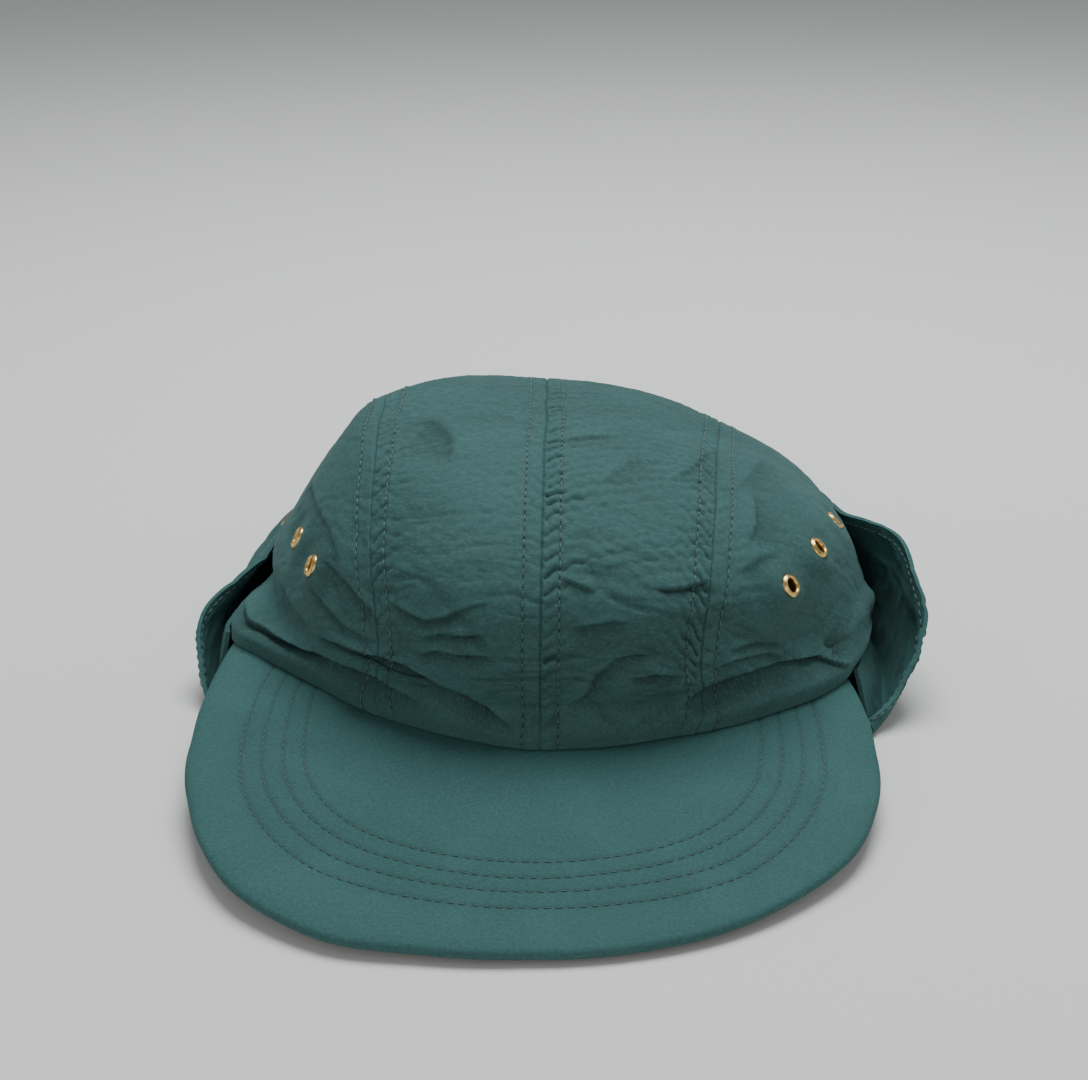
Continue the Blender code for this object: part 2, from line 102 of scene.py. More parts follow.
# Bill, as in the part, its stitch rows' reach, their dents, the cloth's swell past them, the plain
# edge, how strongly height turns its painted shade, and the turns in degrees between which the rows run
BILL_WIDTH = 0.187
BILL_REACH = 0.075
BILL_THICKNESS = 0.003
BILL_FRONT_HEIGHT = 0.0040
BILL_SLOPE = 0.118
BILL_ROLL = -0.0159
SEAM_ALLOWANCE = 0.006
BILL_CORNER_LEFT = 64
BILL_CORNER_RIGHT = 57.5
BILL_TURN_LEFT = 124.5
BILL_TURN_RIGHT = 116.5
BILL_STITCH_REACH = 0.0773
BILL_DENT = 0.00022
BILL_DENT_WIDTH = 0.0007
BILL_PUFF = 0.0002
BILL_PUFF_START = 0.0005
BILL_PUFF_END = 0.006
BILL_EDGE_PLAIN = 0.003
BILL_SHADE = 2
BILL_ROW_LEFT = 124
BILL_ROW_RIGHT = 116

# Flap, as in the part, its stitch row, and its flat height, length and area
FLAP_HEIGHT = 0.048
FLAP_CLOTH = 0.0016
FLAP_START = 59
FLAP_END = 294.5
FLAP_LEAD = 2.8
FLAP_CLEARANCE = 0.0012
FOLD_SHARE = 0.28
FLAP_STITCH_AWAY = 0.0034
FLAP_SMOOTHING = 160

# Eyelets, and how far from their middle the cloth is cut away, lies flat and is free again
EYELET_WIDTH = 0.0070
EYELET_HOLE = 0.0040
EYELET_RIM = 0.0007
EYELET_LIFT = 0.0003
EYELET_OUT = 0.0008
EYELET_TURN = 12
EYELET_CUT = 0.36 * EYELET_WIDTH
EYELET_FLAT = 0.55 * EYELET_WIDTH
EYELET_FREE = 1.5 * EYELET_WIDTH

# Height that turns the cloth's painted shade from plain to dark in its creases or to a painted highlight
# on its ridges, the most mm of a crease that count for it, and how dark a crease's painted shadow is
SHADE_DEPTH = 0.0018
SHADE_LIMIT = 0.8
SHADOW_STRENGTH = 0.95

# Stitches: how far apart they are, how long and how uneven, their thread, and the dark discs painted as
# the shade of their needle holes
STITCH_PITCH = 0.0029
STITCH_LENGTH = 0.0021
STITCH_JITTER = 0.12
THREAD_RADIUS = 0.00019
THREAD_SIDES = 6
THREAD_LIFT = 0.00006
HOLE_RADIUS = 0.00028
HOLE_LIFT = 0.00006
HOLE_DEPTH = 0.0003
HOLE_STRETCH = 1.3

# The crown's level rings by their climb in degrees, as shares of the hem's half width and length
RINGS = table("climb left right front back", [
    (0, 0.94, 1.04, 1.067, 0.933),
    (8, 0.875, 1.11, 1.073, 0.955),
    (15, 0.858, 1.061, 1.075, 0.97),
    (30, 0.746, 0.995, 1.0, 0.925),
    (45, 0.632, 0.823, 0.845, 0.795),
    (60, 0.53, 0.577, 0.615, 0.575),
    (75, 0.43, 0.31, 0.325, 0.34),
    (90, 0.0, 0.0, 0.0, 0.0),
])

# A stitch's rise out of the cloth and its thickness, both in thread radii, by the share of its length
STITCH = table("share rise slim", [
    (0.0, -1.2, 0.5),
    (0.16, 0.35, 0.95),
    (0.38, 1.0, 1.0),
    (0.62, 1.0, 1.0),
    (0.84, 0.35, 0.95),
    (1.0, -1.2, 0.5),
])

# Swells of the bill's cloth: their height in mm, their size across and along in metres and a seed
BILL_SWELLS = table("height across along seed", [
    (0.35, 0.03, 0.022, 21),
    (0.10, 0.008, 0.006, 23),
])

# How square the rings are, 2 being an ellipse
SQUARENESS = {"front_left": 2.3, "front_right": 2.4, "back": 2.25}

# How full the hem is at each turn in degrees from the front, against its plain ring
HEM = table("turn fullness", [
    (-180, 1.0),
    (-90, 1.0),
    (-76, 1.03),
    (-64, 1.085),
    (-57, 1.027),
    (-48, 0.970),
    (-39, 0.945),
    (-25, 0.947),
    (-12, 0.969),
    (0, 1.0),
    (12, 0.992),
    (23, 0.978),
    (40, 0.997),
    (57, 1.051),
    (72, 1.020),
    (90, 1.0),
    (180, 1.0),
])

# Angle in degrees from which the cloth's cut edges stay crisp
CRISP_ANGLE = 65

# The seams' places across, as shares of half the crown's width, on the way from front to back
SEAMS = table("way left centre right", [
    (0.0, -0.452, 0.022, 0.474),
    (0.15, -0.455, 0.026, 0.484),
    (0.26, -0.455, 0.030, 0.494),
    (0.36, -0.470, 0.032, 0.520),
    (0.44, -0.479, 0.032, 0.556),
    (0.5, -0.489, 0.029, 0.581),
    (0.58, -0.497, 0.024, 0.615),
    (0.76, -0.480, 0.012, 0.585),
    (1.0, -0.430, 0.0, 0.450),
])

# Share of its seam's way that a side panel's front edge takes up, and its back edge too
PANEL_TURNED = 0.20

# How full the bill's outline is on each side, by the turn from its tip
BILL_EDGE = table("turn left right", [
    (0, 1.0, 1.0),
    (15, 1.023, 1.003),
    (30, 1.068, 1.008),
    (45, 1.060, 1.006),
    (60, 1.024, 1.012),
    (75, 0.999, 1.003),
    (90, 1.0, 1.002),
    (105, 1.04, 1.036),
    (117, 1.11, 1.088),
    (125, 1.18, 1.12),
])

# The bill's four stitch rows by the turn from its tip, as shares of its half width and reach
BILL_ROWS = table("turn outer second third inner", [
    (0, 0.778, 0.705, 0.642, 0.567),
    (15, 0.787, 0.712, 0.646, 0.574),
    (30, 0.812, 0.735, 0.665, 0.594),
    (45, 0.838, 0.765, 0.690, 0.620),
    (60, 0.838, 0.770, 0.706, 0.639),
    (75, 0.840, 0.777, 0.715, 0.652),
    (90, 0.844, 0.785, 0.724, 0.664),
    (105, 0.876, 0.817, 0.757, 0.697),
    (115, 0.920, 0.860, 0.800, 0.741),
    (125, 0.970, 0.910, 0.850, 0.790),
])

# The flap by its turn from the front round the right: how far out its fold lies, how far its rim
# stands off the crown and how high, as shares of the flap's height
FLAP = table("turn fold_out stand rim_height", [
    (59, 0.18, 0.11, 0.09),
    (62, 0.19, 0.19, 0.13),
    (65, 0.19, 0.265, 0.24),
    (69, 0.18, 0.335, 0.47),
    (73, 0.17, 0.30, 0.66),
    (78, 0.17, 0.285, 0.81),
    (84, 0.16, 0.26, 0.855),
    (90, 0.15, 0.12, 0.845),
    (95, 0.14, 0.0, 0.79),
    (105, 0.14, 0.0, 0.745),
    (118, 0.14, 0.0, 0.79),
    (135, 0.15, 0.02, 0.91),
    (180, 0.17, 0.07, 1.0),
    (220, 0.16, 0.04, 0.94),
    (250, 0.15, 0.0, 0.80),
    (264, 0.15, 0.0, 0.68),
    (273, 0.15, 0.0, 0.64),
    (278, 0.16, 0.07, 0.62),
    (282, 0.17, 0.16, 0.555),
    (285.5, 0.18, 0.24, 0.46),
    (289.5, 0.19, 0.23, 0.28),
    (294.5, 0.18, 0.17, 0.09),
])

# How far in mm the low front of the crown sinks behind the plain crown, between its folds and hem
SINKS = table("turn depth", [
    (-78, 0.0),
    (-62, 1.6),
    (-45, 4.2),
    (-28, 4.6),
    (0, 3.6),
    (25, 4.4),
    (45, 6.5),
    (62, 3.0),
    (78, 0.0),
])

# How far in mm the crown's sides bag out just over the hem, and how far higher up
BAGS = table("turn low high", [
    (-118, 0.0, 0.0),
    (-98, -2.0, -2.4),
    (-78, -1.4, -2.6),
    (-64, -0.2, -0.8),
    (-50, 0.0, 0.0),
    (50, 0.0, 0.0),
    (64, 2.2, -0.2),
    (78, 3.6, -1.0),
    (92, 3.6, -1.4),
    (115, 0.0, 0.0),
])

# How far the creases slide on the disc for each mm that the crown sinks, and more so at its sides
SINK_SLIDE = 0.0035
SINK_SLIDE_ASIDE = 0.0041

# Climbs in degrees between which the cloth's relief grows over the hem, and the sink comes and goes
RELIEF_START = (0.5, 9.0)
SINK_START = (2, 9)
SINK_END = (16, 40)

# The eyelets' places on the disc, as in the part, but for the left back one, which lies further back
EYELETS = table("name across along", [
    ("eyelet_right_front", 0.502, -0.439),
    ("eyelet_right_middle", 0.557, -0.310),
    ("eyelet_right_back", 0.622, -0.155),
    ("eyelet_left_front", -0.492, -0.449),
    ("eyelet_left_middle", -0.571, -0.331),
    ("eyelet_left_back", -0.712, -0.088),
])

# Folds of the crown, as in the part: from one place on the disc to another, as shares of its radius
FOLDS = table("from_across from_along to_across to_along width depth", [
    (-0.78, -0.42, -0.62, -0.59, 0.060, 0.9),
    (-0.62, -0.59, -0.43, -0.77, 0.060, 1.0),
    (-0.49, -0.62, -0.31, -0.73, 0.055, 0.5),
    (-0.31, -0.73, -0.08, -0.92, 0.055, 0.7),
    (-0.29, -0.56, -0.17, -0.62, 0.060, 0.4),
    (-0.17, -0.62, 0.00, -0.57, 0.060, 0.4),
    (-0.12, -0.05, -0.07, -0.21, 0.070, 0.4),
    (0.11, -0.88, 0.18, -0.74, 0.055, 0.7),
    (0.18, -0.74, 0.32, -0.65, 0.055, 0.7),
    (0.27, -0.50, 0.34, -0.46, 0.060, 0.3),
    (0.28, -0.21, 0.34, -0.10, 0.060, 0.4),
    (0.48, -0.79, 0.58, -0.62, 0.060, 0.7),
    (0.58, -0.62, 0.72, -0.53, 0.065, 1.0),
    (0.72, -0.53, 0.82, -0.53, 0.060, 0.7),
    (-0.46, -0.56, -0.42, -0.68, 0.060, 0.3),
    (-0.80, 0.05, -0.62, 0.46, 0.080, 0.7),
    (0.84, 0.02, 0.66, 0.44, 0.080, 0.7),
    (-0.28, 0.80, 0.20, 0.84, 0.080, 0.7),
    (-0.10, 0.50, 0.34, 0.62, 0.080, 0.5),
])

# Creases of the crown: the places that each one's lip passes on the disc, and its width, its depth
# and its lip's height in mm. The lip stands to the left of the crease's run; to the right of it the
# cloth drops steeply and then rises slowly again.
CREASES = table("width depth lip places", [
    (2.6, 3.0, 0.5, [
        (-0.915, -0.21), (-0.88, -0.29), (-0.815, -0.415), (-0.70, -0.57), (-0.58, -0.67),
        (-0.475, -0.75), (-0.42, -0.792), (-0.36, -0.835), (-0.28, -0.885),
    ]),
    (1.4, 2.4, 0.6, [
        (-0.78, -0.47), (-0.66, -0.605), (-0.58, -0.67), (-0.475, -0.75), (-0.42, -0.792),
        (-0.33, -0.855),
    ]),
    (1.2, 2.0, 0.5, [(-0.60, -0.585), (-0.533, -0.622), (-0.425, -0.67), (-0.35, -0.704)]),
    (1.8, 4.6, 0.7, [
        (-0.52, -0.62), (-0.47, -0.65), (-0.425, -0.67), (-0.341, -0.708), (-0.284, -0.74),
        (-0.236, -0.791), (-0.177, -0.845), (-0.125, -0.89), (-0.03, -0.96),
    ]),
    (0.8, 1.1, 0.4, [
        (-0.27, -0.57), (-0.229, -0.608), (-0.194, -0.629), (-0.145, -0.626), (-0.11, -0.608),
    ]),
    (0.6, 0.5, 0.2, [(-0.16, -0.628), (-0.11, -0.612), (-0.079, -0.602), (-0.05, -0.598)]),
    (1.0, 1.0, 0.3, [
        (-0.26, -0.705), (-0.19, -0.70), (-0.15, -0.715), (-0.089, -0.722), (-0.05, -0.745),
    ]),
    (0.8, 0.9, 0.3, [(-0.23, -0.668), (-0.17, -0.662), (-0.12, -0.674), (-0.07, -0.672)]),
    (2.2, 0.7, 0.2, [
        (-0.13, -0.075), (-0.098, -0.053), (-0.08, -0.056), (-0.071, -0.146), (-0.078, -0.24),
    ]),
    (1.2, 0.6, 0.2, [(-0.45, -0.42), (-0.371, -0.514), (-0.329, -0.584), (-0.30, -0.635)]),
    (1.2, 0.7, 0.2, [
        (-0.515, -0.46), (-0.479, -0.53), (-0.431, -0.594), (-0.377, -0.634), (-0.33, -0.663),
    ]),
    (1.8, 0.5, 0.2, [(-0.70, -0.36), (-0.641, -0.482), (-0.585, -0.58)]),
    (3.2, 0.45, 0.2, [(-0.55, -0.09), (-0.47, -0.25), (-0.393, -0.379), (-0.366, -0.51)]),
    (1.8, 2.8, 0.5, [
        (0.60, -0.575), (0.658, -0.548), (0.703, -0.54), (0.781, -0.53), (0.83, -0.54),
    ]),
    (2.6, 3.8, 0.5, [
        (0.38, -0.84), (0.435, -0.755), (0.459, -0.721), (0.49, -0.681), (0.526, -0.633),
        (0.573, -0.596), (0.66, -0.545), (0.72, -0.52),
    ]),
    (2.2, 1.4, 0.2, [(0.73, -0.535), (0.72, -0.50), (0.67, -0.485)]),
    (1.1, 0.8, 0.3, [
        (0.085, -0.882), (0.122, -0.857), (0.142, -0.817), (0.15, -0.767), (0.19, -0.71),
    ]),
    (0.9, 0.7, 0.3, [(0.165, -0.74), (0.19, -0.71), (0.228, -0.688), (0.265, -0.682)]),
    (0.8, 0.8, 0.3, [(0.09, -0.652), (0.136, -0.638), (0.178, -0.62), (0.215, -0.618)]),
    (0.9, 1.2, 0.4, [(0.24, -0.53), (0.279, -0.518), (0.303, -0.506), (0.345, -0.472)]),
    (1.0, 0.8, 0.3, [(0.085, -0.532), (0.15, -0.563)]),
    (1.8, 0.5, 0.2, [(0.265, -0.235), (0.31, -0.173), (0.355, -0.08)]),
    (2.4, 0.4, 0.1, [(0.15, -0.28), (0.182, -0.227), (0.215, -0.175)]),
    (1.0, 0.5, 0.2, [(0.09, -0.138), (0.18, -0.118)]),
    (1.2, 1.0, 0.3, [(0.22, -0.762), (0.288, -0.737), (0.35, -0.728)]),
    (2.6, 0.4, 0.1, [(0.375, -0.23), (0.424, -0.137), (0.47, 0.0)]),
    (2.0, 0.7, 0.2, [(0.40, -0.37), (0.416, -0.305), (0.414, -0.21)]),
    (1.4, 0.5, 0.2, [(0.385, -0.445), (0.425, -0.398), (0.465, -0.355)]),
    (0.9, 0.9, 0.3, [(0.40, -0.70), (0.45, -0.64), (0.52, -0.59), (0.60, -0.56)]),
    (0.9, 0.8, 0.2, [(0.42, -0.62), (0.48, -0.57), (0.56, -0.54)]),
    (3.6, 2.0, 0.8, [(-0.82, 0.02), (-0.76, 0.25), (-0.60, 0.48)]),
    (3.6, 2.0, 0.8, [(0.64, 0.46), (0.80, 0.24), (0.86, 0.0)]),
    (3.0, 2.0, 0.9, [(-0.30, 0.78), (-0.05, 0.86), (0.22, 0.82)]),
    (3.0, 1.6, 0.7, [(-0.12, 0.50), (0.10, 0.60), (0.36, 0.60)]),
    (2.4, 1.4, 0.6, [(0.38, 0.70), (0.30, 0.58), (0.36, 0.42)]),
    (2.4, 1.4, 0.6, [(-0.40, 0.66), (-0.26, 0.52), (-0.34, 0.36)]),
])

# Shape of a crease, in shares of its width: how far its drop reaches to both sides of its path, how
# much of its depth rises again near by and how much far off, each with its reach, and how broad its
# lip and its shadow are
CREASE_DROP = (0.15, 0.30)
CREASE_NEAR = (0.4, 0.7)
CREASE_FAR = (0.6, 2.6)
LIP_BREADTH = 2.2
SHADOW_BREADTH = 1.5

# Depth in mm that a crease needs for a dark shadow, and how much broader in mm each shadow is
SHADOW_DEPTH = 1.4
SHADOW_MARGIN = 0.7

# Wrinkles: their size across and along in mm, how narrow and how deep in mm they are, and how much
# deeper low at the front
WRINKLES = table("across along narrow depth low_depth seed", [
    (24, 9, 0.12, 0.22, 0.38, 5),
    (13, 4.6, 0.17, 0.16, 0.28, 9),
    (7, 2.6, 0.26, 0.14, 0.26, 12),
])

# Puckers beside a seam: on its left (-1) or right (1), how high and how far apart they stand in
# mm, how far they reach past the stitching in mm, and how they slant
PUCKERS = table("seam side height pitch reach slant", [
    ("left", -1, 0.20, 4.6, 3.0, -0.3),
    ("left", 1, 0.60, 4.2, 4.5, -0.35),
    ("centre", -1, 0.20, 4.8, 4.0, 0.2),
    ("centre", 1, 0.95, 4.2, 3.6, -0.35),
    ("right", -1, 0.85, 4.4, 5.0, -0.75),
    ("right", 1, 0.20, 4.8, 3.0, -0.3),
])


def read(rows, column, at):
    """A table's column at each key, smoothly joined between its rows and level past its ends."""
    keys = np.array([row[0] for row in rows], float)
    values = np.array([getattr(row, column) for row in rows], float)
    at = np.clip(np.asarray(at, float), keys[0], keys[-1])
    rises = np.diff(values) / np.diff(keys)
    before, after = rises[:-1], rises[1:]
    total = np.where(before + after == 0, 1.0, before + after)
    middle = np.where(before * after > 0, 2 * before * after / total, 0.0)
    slopes = np.concatenate([rises[:1], middle, rises[-1:]])
    first = np.clip(np.searchsorted(keys, at, side="right") - 1, 0, len(keys) - 2)
    step = keys[first + 1] - keys[first]
    share = (at - keys[first]) / step
    start = slopes[first] * step
    end = slopes[first + 1] * step
    gain = values[first + 1] - values[first]
    rise = (3 * gain - 2 * start - end) * share**2 + (start + end - 2 * gain) * share**3
    return values[first] + start * share + rise


def ease(at, start, end):
    """0 before start, 1 after end, smooth between them."""
    share = np.clip((at - start) / (end - start), 0.0, 1.0)
    return share * share * (3 - 2 * share)


def bell(away, width):
    """1 at no distance, about a third one width away, and nothing far off."""
    return np.exp(-((away / width) ** 2))


def lattice(column, row, seed):
    """A fixed value from 0 to 1 for each whole column and row."""
    mixed = np.sin(column * 127.1 + row * 311.7 + seed * 74.7) * 43758.5453
    return mixed - np.floor(mixed)


def noise(x, y, seed):
    """Smooth noise from 0 to 1 with features one unit across."""
    column, row = np.floor(x), np.floor(y)
    right = ease(x - column, 0, 1)
    up = ease(y - row, 0, 1)
    low = lattice(column, row, seed) * (1 - right) + lattice(column + 1, row, seed) * right
    high = lattice(column, row + 1, seed) * (1 - right) + lattice(column + 1, row + 1, seed) * right
    return low * (1 - up) + high * up


def waves(x, y, seed):
    """Three layers of noise, about -0.5 to 0.5."""
    total = noise(x, y, seed) + 0.5 * noise(2.1 * x, 2.1 * y, seed + 1)
    return (total + 0.25 * noise(4.3 * x, 4.3 * y, seed + 2)) / 1.75 - 0.5


def creased(x, y, seed):
    """Noise with narrow valleys and round backs, 0 in the valleys to 1."""
    return 1 - (1 - np.abs(2 * noise(x, y, seed) - 1)) ** 3


def run_along(line):
    """Length run along a line of places, 0 at its start."""
    steps = np.linalg.norm(np.diff(line, axis=0), axis=-1)
    return np.concatenate([np.zeros((1, *steps.shape[1:])), np.cumsum(steps, axis=0)])


def turning_point(low, high, holds):
    """Where a test that holds at low and fails at high turns over, closed in on by halves."""
    for _ in range(18):
        middle = (low + high) / 2
        held = holds(middle)
        low = np.where(held, middle, low)
        high = np.where(held, high, middle)
    return (low + high) / 2


def turn_of(across, along):
    """Turn in degrees of places round a middle, 0 at the front and above 0 to the right."""
    return np.degrees(np.arctan2(across, -along))


def ring_reach(turn, climb):
    """Plan distance from the crown's middle to its plain ring at this climb."""
    right = np.sin(np.radians(turn))
    back = -np.cos(np.radians(turn))
    side = np.where(right < 0, read(RINGS, "left", climb), read(RINGS, "right", climb))
    end = np.where(back < 0, read(RINGS, "front", climb), read(RINGS, "back", climb))
    front = np.where(right < 0, SQUARENESS["front_left"], SQUARENESS["front_right"])
    power = np.where(back < 0, front, SQUARENESS["back"])
    side = np.maximum(side * CROWN_WIDTH / 2, 1e-9)
    end = np.maximum(end * CROWN_LENGTH / 2, 1e-9)
    return (np.abs(right / side) ** power + np.abs(back / end) ** power) ** (-1 / power)


def hem_reach(turn):
    """Plan distance from the crown's middle to the outside of its hem."""
    return ring_reach(turn, 0.0) * read(HEM, "fullness", turn)


def plan_point(turn, reach):
    """Plan place at a turn and a distance from the crown's middle."""
    angle = np.radians(turn)
    return CROWN_X + reach * np.sin(angle), CROWN_Y - reach * np.cos(angle)


# Where the middle of the crown's front meets the bill
SEAM_FOOT_Y = CROWN_Y - float(hem_reach(0.0))


def bill_top(x, y):
    """Height of the bill's upper face."""
    front = SEAM_FOOT_Y - BILL_REACH
    return BILL_FRONT_HEIGHT + BILL_SLOPE * (y - front) + BILL_ROLL * (x - CROWN_X)


def hem_height(turn):
    """Height of the hem: on the bill between the bill's corners, down to the table behind them."""
    x, y = plan_point(turn, hem_reach(turn) - HEM_WALL)
    corner = np.where(turn < 0, BILL_CORNER_LEFT, BILL_CORNER_RIGHT)
    fall = 1 - ease(np.abs(turn), corner + HEM_FALL_START, corner + HEM_FALL)
    return (bill_top(x, y) + GAP) * fall


def crown_out(turn, height):
    """How far outside its hem the crown stands at this height, puffed cloth included."""
    foot = hem_height(turn)
    lift = np.clip((height - foot) / (CROWN_HEIGHT - foot), 0.0, 1.0)
    climb = np.degrees(np.arcsin(lift))
    angle = np.radians(turn)
    lean = CROWN_LEAN_X * np.sin(angle) - CROWN_LEAN_Y * np.cos(angle)
    gain = ring_reach(turn, climb) + lean * lift**2 + PUFF - hem_reach(turn)
    return np.where(height > foot, gain * ease(climb, HEM_CLIMB, SWELL_CLIMB), 0.0)


def climb_of(across, along):
    """Climb in degrees of places on the disc, 0 at the hem and 90 at the top."""
    return 90 * (1 - np.minimum(np.hypot(across, along), 1.0))


def crown_base(across, along):
    """Outside of the crown before its folds, from places on the disc."""
    turn = turn_of(across, along)
    climb = climb_of(across, along)
    swell = ease(climb, HEM_CLIMB, SWELL_CLIMB)
    reach = hem_reach(turn) * (1 - swell) + ring_reach(turn, climb) * swell
    x, y = plan_point(turn, reach)
    foot = hem_height(turn)
    lift = np.sin(np.radians(climb))
    z = foot + (CROWN_HEIGHT - foot) * lift
    x = x + CROWN_LEAN_X * lift**2 * swell
    y = y + CROWN_LEAN_Y * lift**2 * swell
    return np.stack([x, y, z], axis=-1)


def unit(vectors):
    """Vectors of the same directions, one metre long."""
    return vectors / np.maximum(np.linalg.norm(vectors, axis=-1, keepdims=True), 1e-12)


def normal_of(surface, across, along, step):
    """Normals of a surface over the disc, each from places one step away on four sides."""
    sideways = surface(across + step, along) - surface(across - step, along)
    lengthways = surface(across, along + step) - surface(across, along - step)
    return unit(np.cross(sideways, lengthways))


def crown_normal(across, along):
    """Normals of the crown before its folds."""
    return normal_of(crown_base, across, along, NORMAL_STEP)


def disc_point(across, way, radius=1.0):
    """Places on the disc at this share of the way from the front rim to the back rim."""
    half = np.sqrt(np.maximum(radius**2 - across**2, 0.0))
    return across, -np.cos(math.pi * way) * half


def lay_seam(side):
    """A seam's places across the disc: where the crown's plan meets the seam's line."""
    ways = np.linspace(0, 1, 25)
    target = CROWN_X + read(SEAMS, side, ways) * CROWN_WIDTH / 2

    def short(across):
        return crown_base(*disc_point(across, ways))[..., 0] < target

    low, high = np.full(ways.shape, -0.95), np.full(ways.shape, 0.95)
    return table("way across", zip(ways, turning_point(low, high, short)))


SEAM_LINES = {side: lay_seam(side) for side in ("left", "centre", "right")}


def seam_across(side, way):
    """Place across the disc of a seam, at a share of its way from front to back."""
    return read(SEAM_LINES[side], "across", way)


def band_radii(count=6):
    """Radii on the disc from the hem up to just under the hem band's top."""
    return np.linspace(1.0, INNER_RADIUS, count, endpoint=False)


class SeamLine:
    """A seam's line over the crown, and how far any place is from it and along it."""

    def __init__(self, side):
        ways = np.linspace(0, 1, SEAM_POINTS)
        ways = np.concatenate([np.zeros(SEAM_BAND_POINTS), ways, np.ones(SEAM_BAND_POINTS)])
        band = band_radii(SEAM_BAND_POINTS)
        radius = np.concatenate([band, np.full(SEAM_POINTS, INNER_RADIUS), band[::-1]])
        self.across, self.along = disc_point(seam_across(side, ways), ways, radius)
        points = crown_base(self.across, self.along)
        self.length = run_along(points)
        self.tree = KDTree(len(points))
        for number, point in enumerate(points):
            self.tree.insert(point, number)
        self.tree.balance()

    def near(self, points):
        """Distance to the seam and length along it, for each point."""
        flat = points.reshape(-1, 3)
        found = [self.tree.find(point) for point in flat]
        away = np.array([one[2] for one in found]).reshape(points.shape[:-1])
        place = np.array([one[1] for one in found]).reshape(points.shape[:-1])
        return away, self.length[place]


SEAM_PATHS = {side: SeamLine(side) for side in SEAM_LINES}


def fold_depth(across, along):
    """How deep the folds draw the cloth in at places on the disc, in metres."""
    deepest = np.zeros(np.shape(across))
    for fold in FOLDS:
        run_x, run_y = fold.to_across - fold.from_across, fold.to_along - fold.from_along
        off_x, off_y = across - fold.from_across, along - fold.from_along
        share = np.clip((off_x * run_x + off_y * run_y) / (run_x**2 + run_y**2), 0, 1)
        away = np.hypot(off_x - share * run_x, off_y - share * run_y)
        deepest = np.maximum(deepest, fold.depth * FOLD_DEPTH * bell(away, fold.width))
    return deepest


def crease_height(across, along):
    """Height in mm that the creases give the cloth at places on the disc, and their shadows."""
    height = np.zeros(np.shape(across))
    darkest = np.zeros(np.shape(across))
    scale = DISC_RADIUS / MM
    for crease in CREASES:
        best = np.full(np.shape(across), 1e9)
        signed = np.zeros(np.shape(across))
        share = np.zeros(np.shape(across))
        stretches = list(zip(crease.places, crease.places[1:]))
        lengths = [math.dist(start, end) for start, end in stretches]
        passed = 0.0
        for (start, end), length in zip(stretches, lengths):
            run_x, run_y = (end[0] - start[0]) / length, (end[1] - start[1]) / length
            off_x, off_y = across - start[0], along - start[1]
            reached = np.clip(off_x * run_x + off_y * run_y, 0, length)
            away = np.hypot(off_x - run_x * reached, off_y - run_y * reached) * scale
            nearer = away < best
            best = np.where(nearer, away, best)
            side = np.where(run_x * off_y - run_y * off_x > 0, 1.0, -1.0)
            signed = np.where(nearer, side * away, signed)
            share = np.where(nearer, (passed + reached) / sum(lengths), share)
            passed += length
        fade = ease(share, -0.02, 0.25) * ease(-share, -1.02, -0.75)
        drop = CREASE_DROP[1] * crease.width
        below = np.maximum(-signed - drop, 0)
        near = CREASE_NEAR[0] * np.exp(-below / (CREASE_NEAR[1] * crease.width))
        rise = near + CREASE_FAR[0] * bell(below, CREASE_FAR[1] * crease.width)
        fall = ease(-signed, -CREASE_DROP[0] * crease.width, drop)
        lip = crease.lip * (1 - fall) * bell(signed, LIP_BREADTH * crease.width)
        height += fade * (lip - crease.depth * fall * rise)
        shadow = np.exp(-below / (SHADOW_BREADTH * crease.width + SHADOW_MARGIN))
        shadow = (1 - math.exp(-crease.depth / SHADOW_DEPTH)) * fall * shadow
        darkest = np.maximum(darkest, fade * shadow)
    return height, darkest


def way_at(across, along):
    """Share of the way from the front rim to the back rim, the inverse of disc_point."""
    half = np.sqrt(np.maximum(1 - across**2, 1e-9))
    return np.arccos(np.clip(-along / half, -1.0, 1.0)) / math.pi


def pucker_height(across, along, nearness):
    """Height in mm of the puckers that the seams' stitching draws up."""
    height = np.zeros(np.shape(across))
    way = way_at(across, along)
    stitched = STITCH_AWAY / MM
    for number, pucker in enumerate(PUCKERS):
        away, length = nearness[pucker.seam]
        away, length = away / MM, length / MM
        side = np.sign(across - seam_across(pucker.seam, way))
        phase = (length + pucker.slant * away) / pucker.pitch + 0.9 * noise(length / 9, away / 12, number)
        phase = phase + 0.12 * np.sin(away * 1.3)
        count = np.floor(phase)
        off = phase - count - 0.5
        strength = 0.25 + 0.85 * lattice(count, 0.0, number + 0.5)
        fold = -0.28 * np.cos(2 * math.pi * off) - 0.72 * bell(off, 0.10)
        inside = ease(away, 0.15, 1.0) * (1 - 0.75 * ease(away, stitched - 1.2, stitched + 0.4))
        reach = pucker.reach * (0.3 + 1.9 * lattice(count, 3.0, number + 0.5) ** 3)
        beyond = bell(np.maximum(away - stitched, 0), reach)
        outside = 0.45 * ease(away, stitched - 0.6, stitched + 0.8) * beyond
        part = pucker.height * strength * (inside + outside) * fold
        height += np.where(side == pucker.side, part, 0.0)
    return height


def crease_lines(x, y, width, seed):
    """Thin valleys (1) that wander over smooth cloth (0), kept to patches of it."""
    valley = bell(2 * noise(x, y, seed) - 1, width)
    patch = ease(noise(x * 0.9 + 7, y * 0.5, seed + 50), 0.42, 0.68)
    return valley * patch


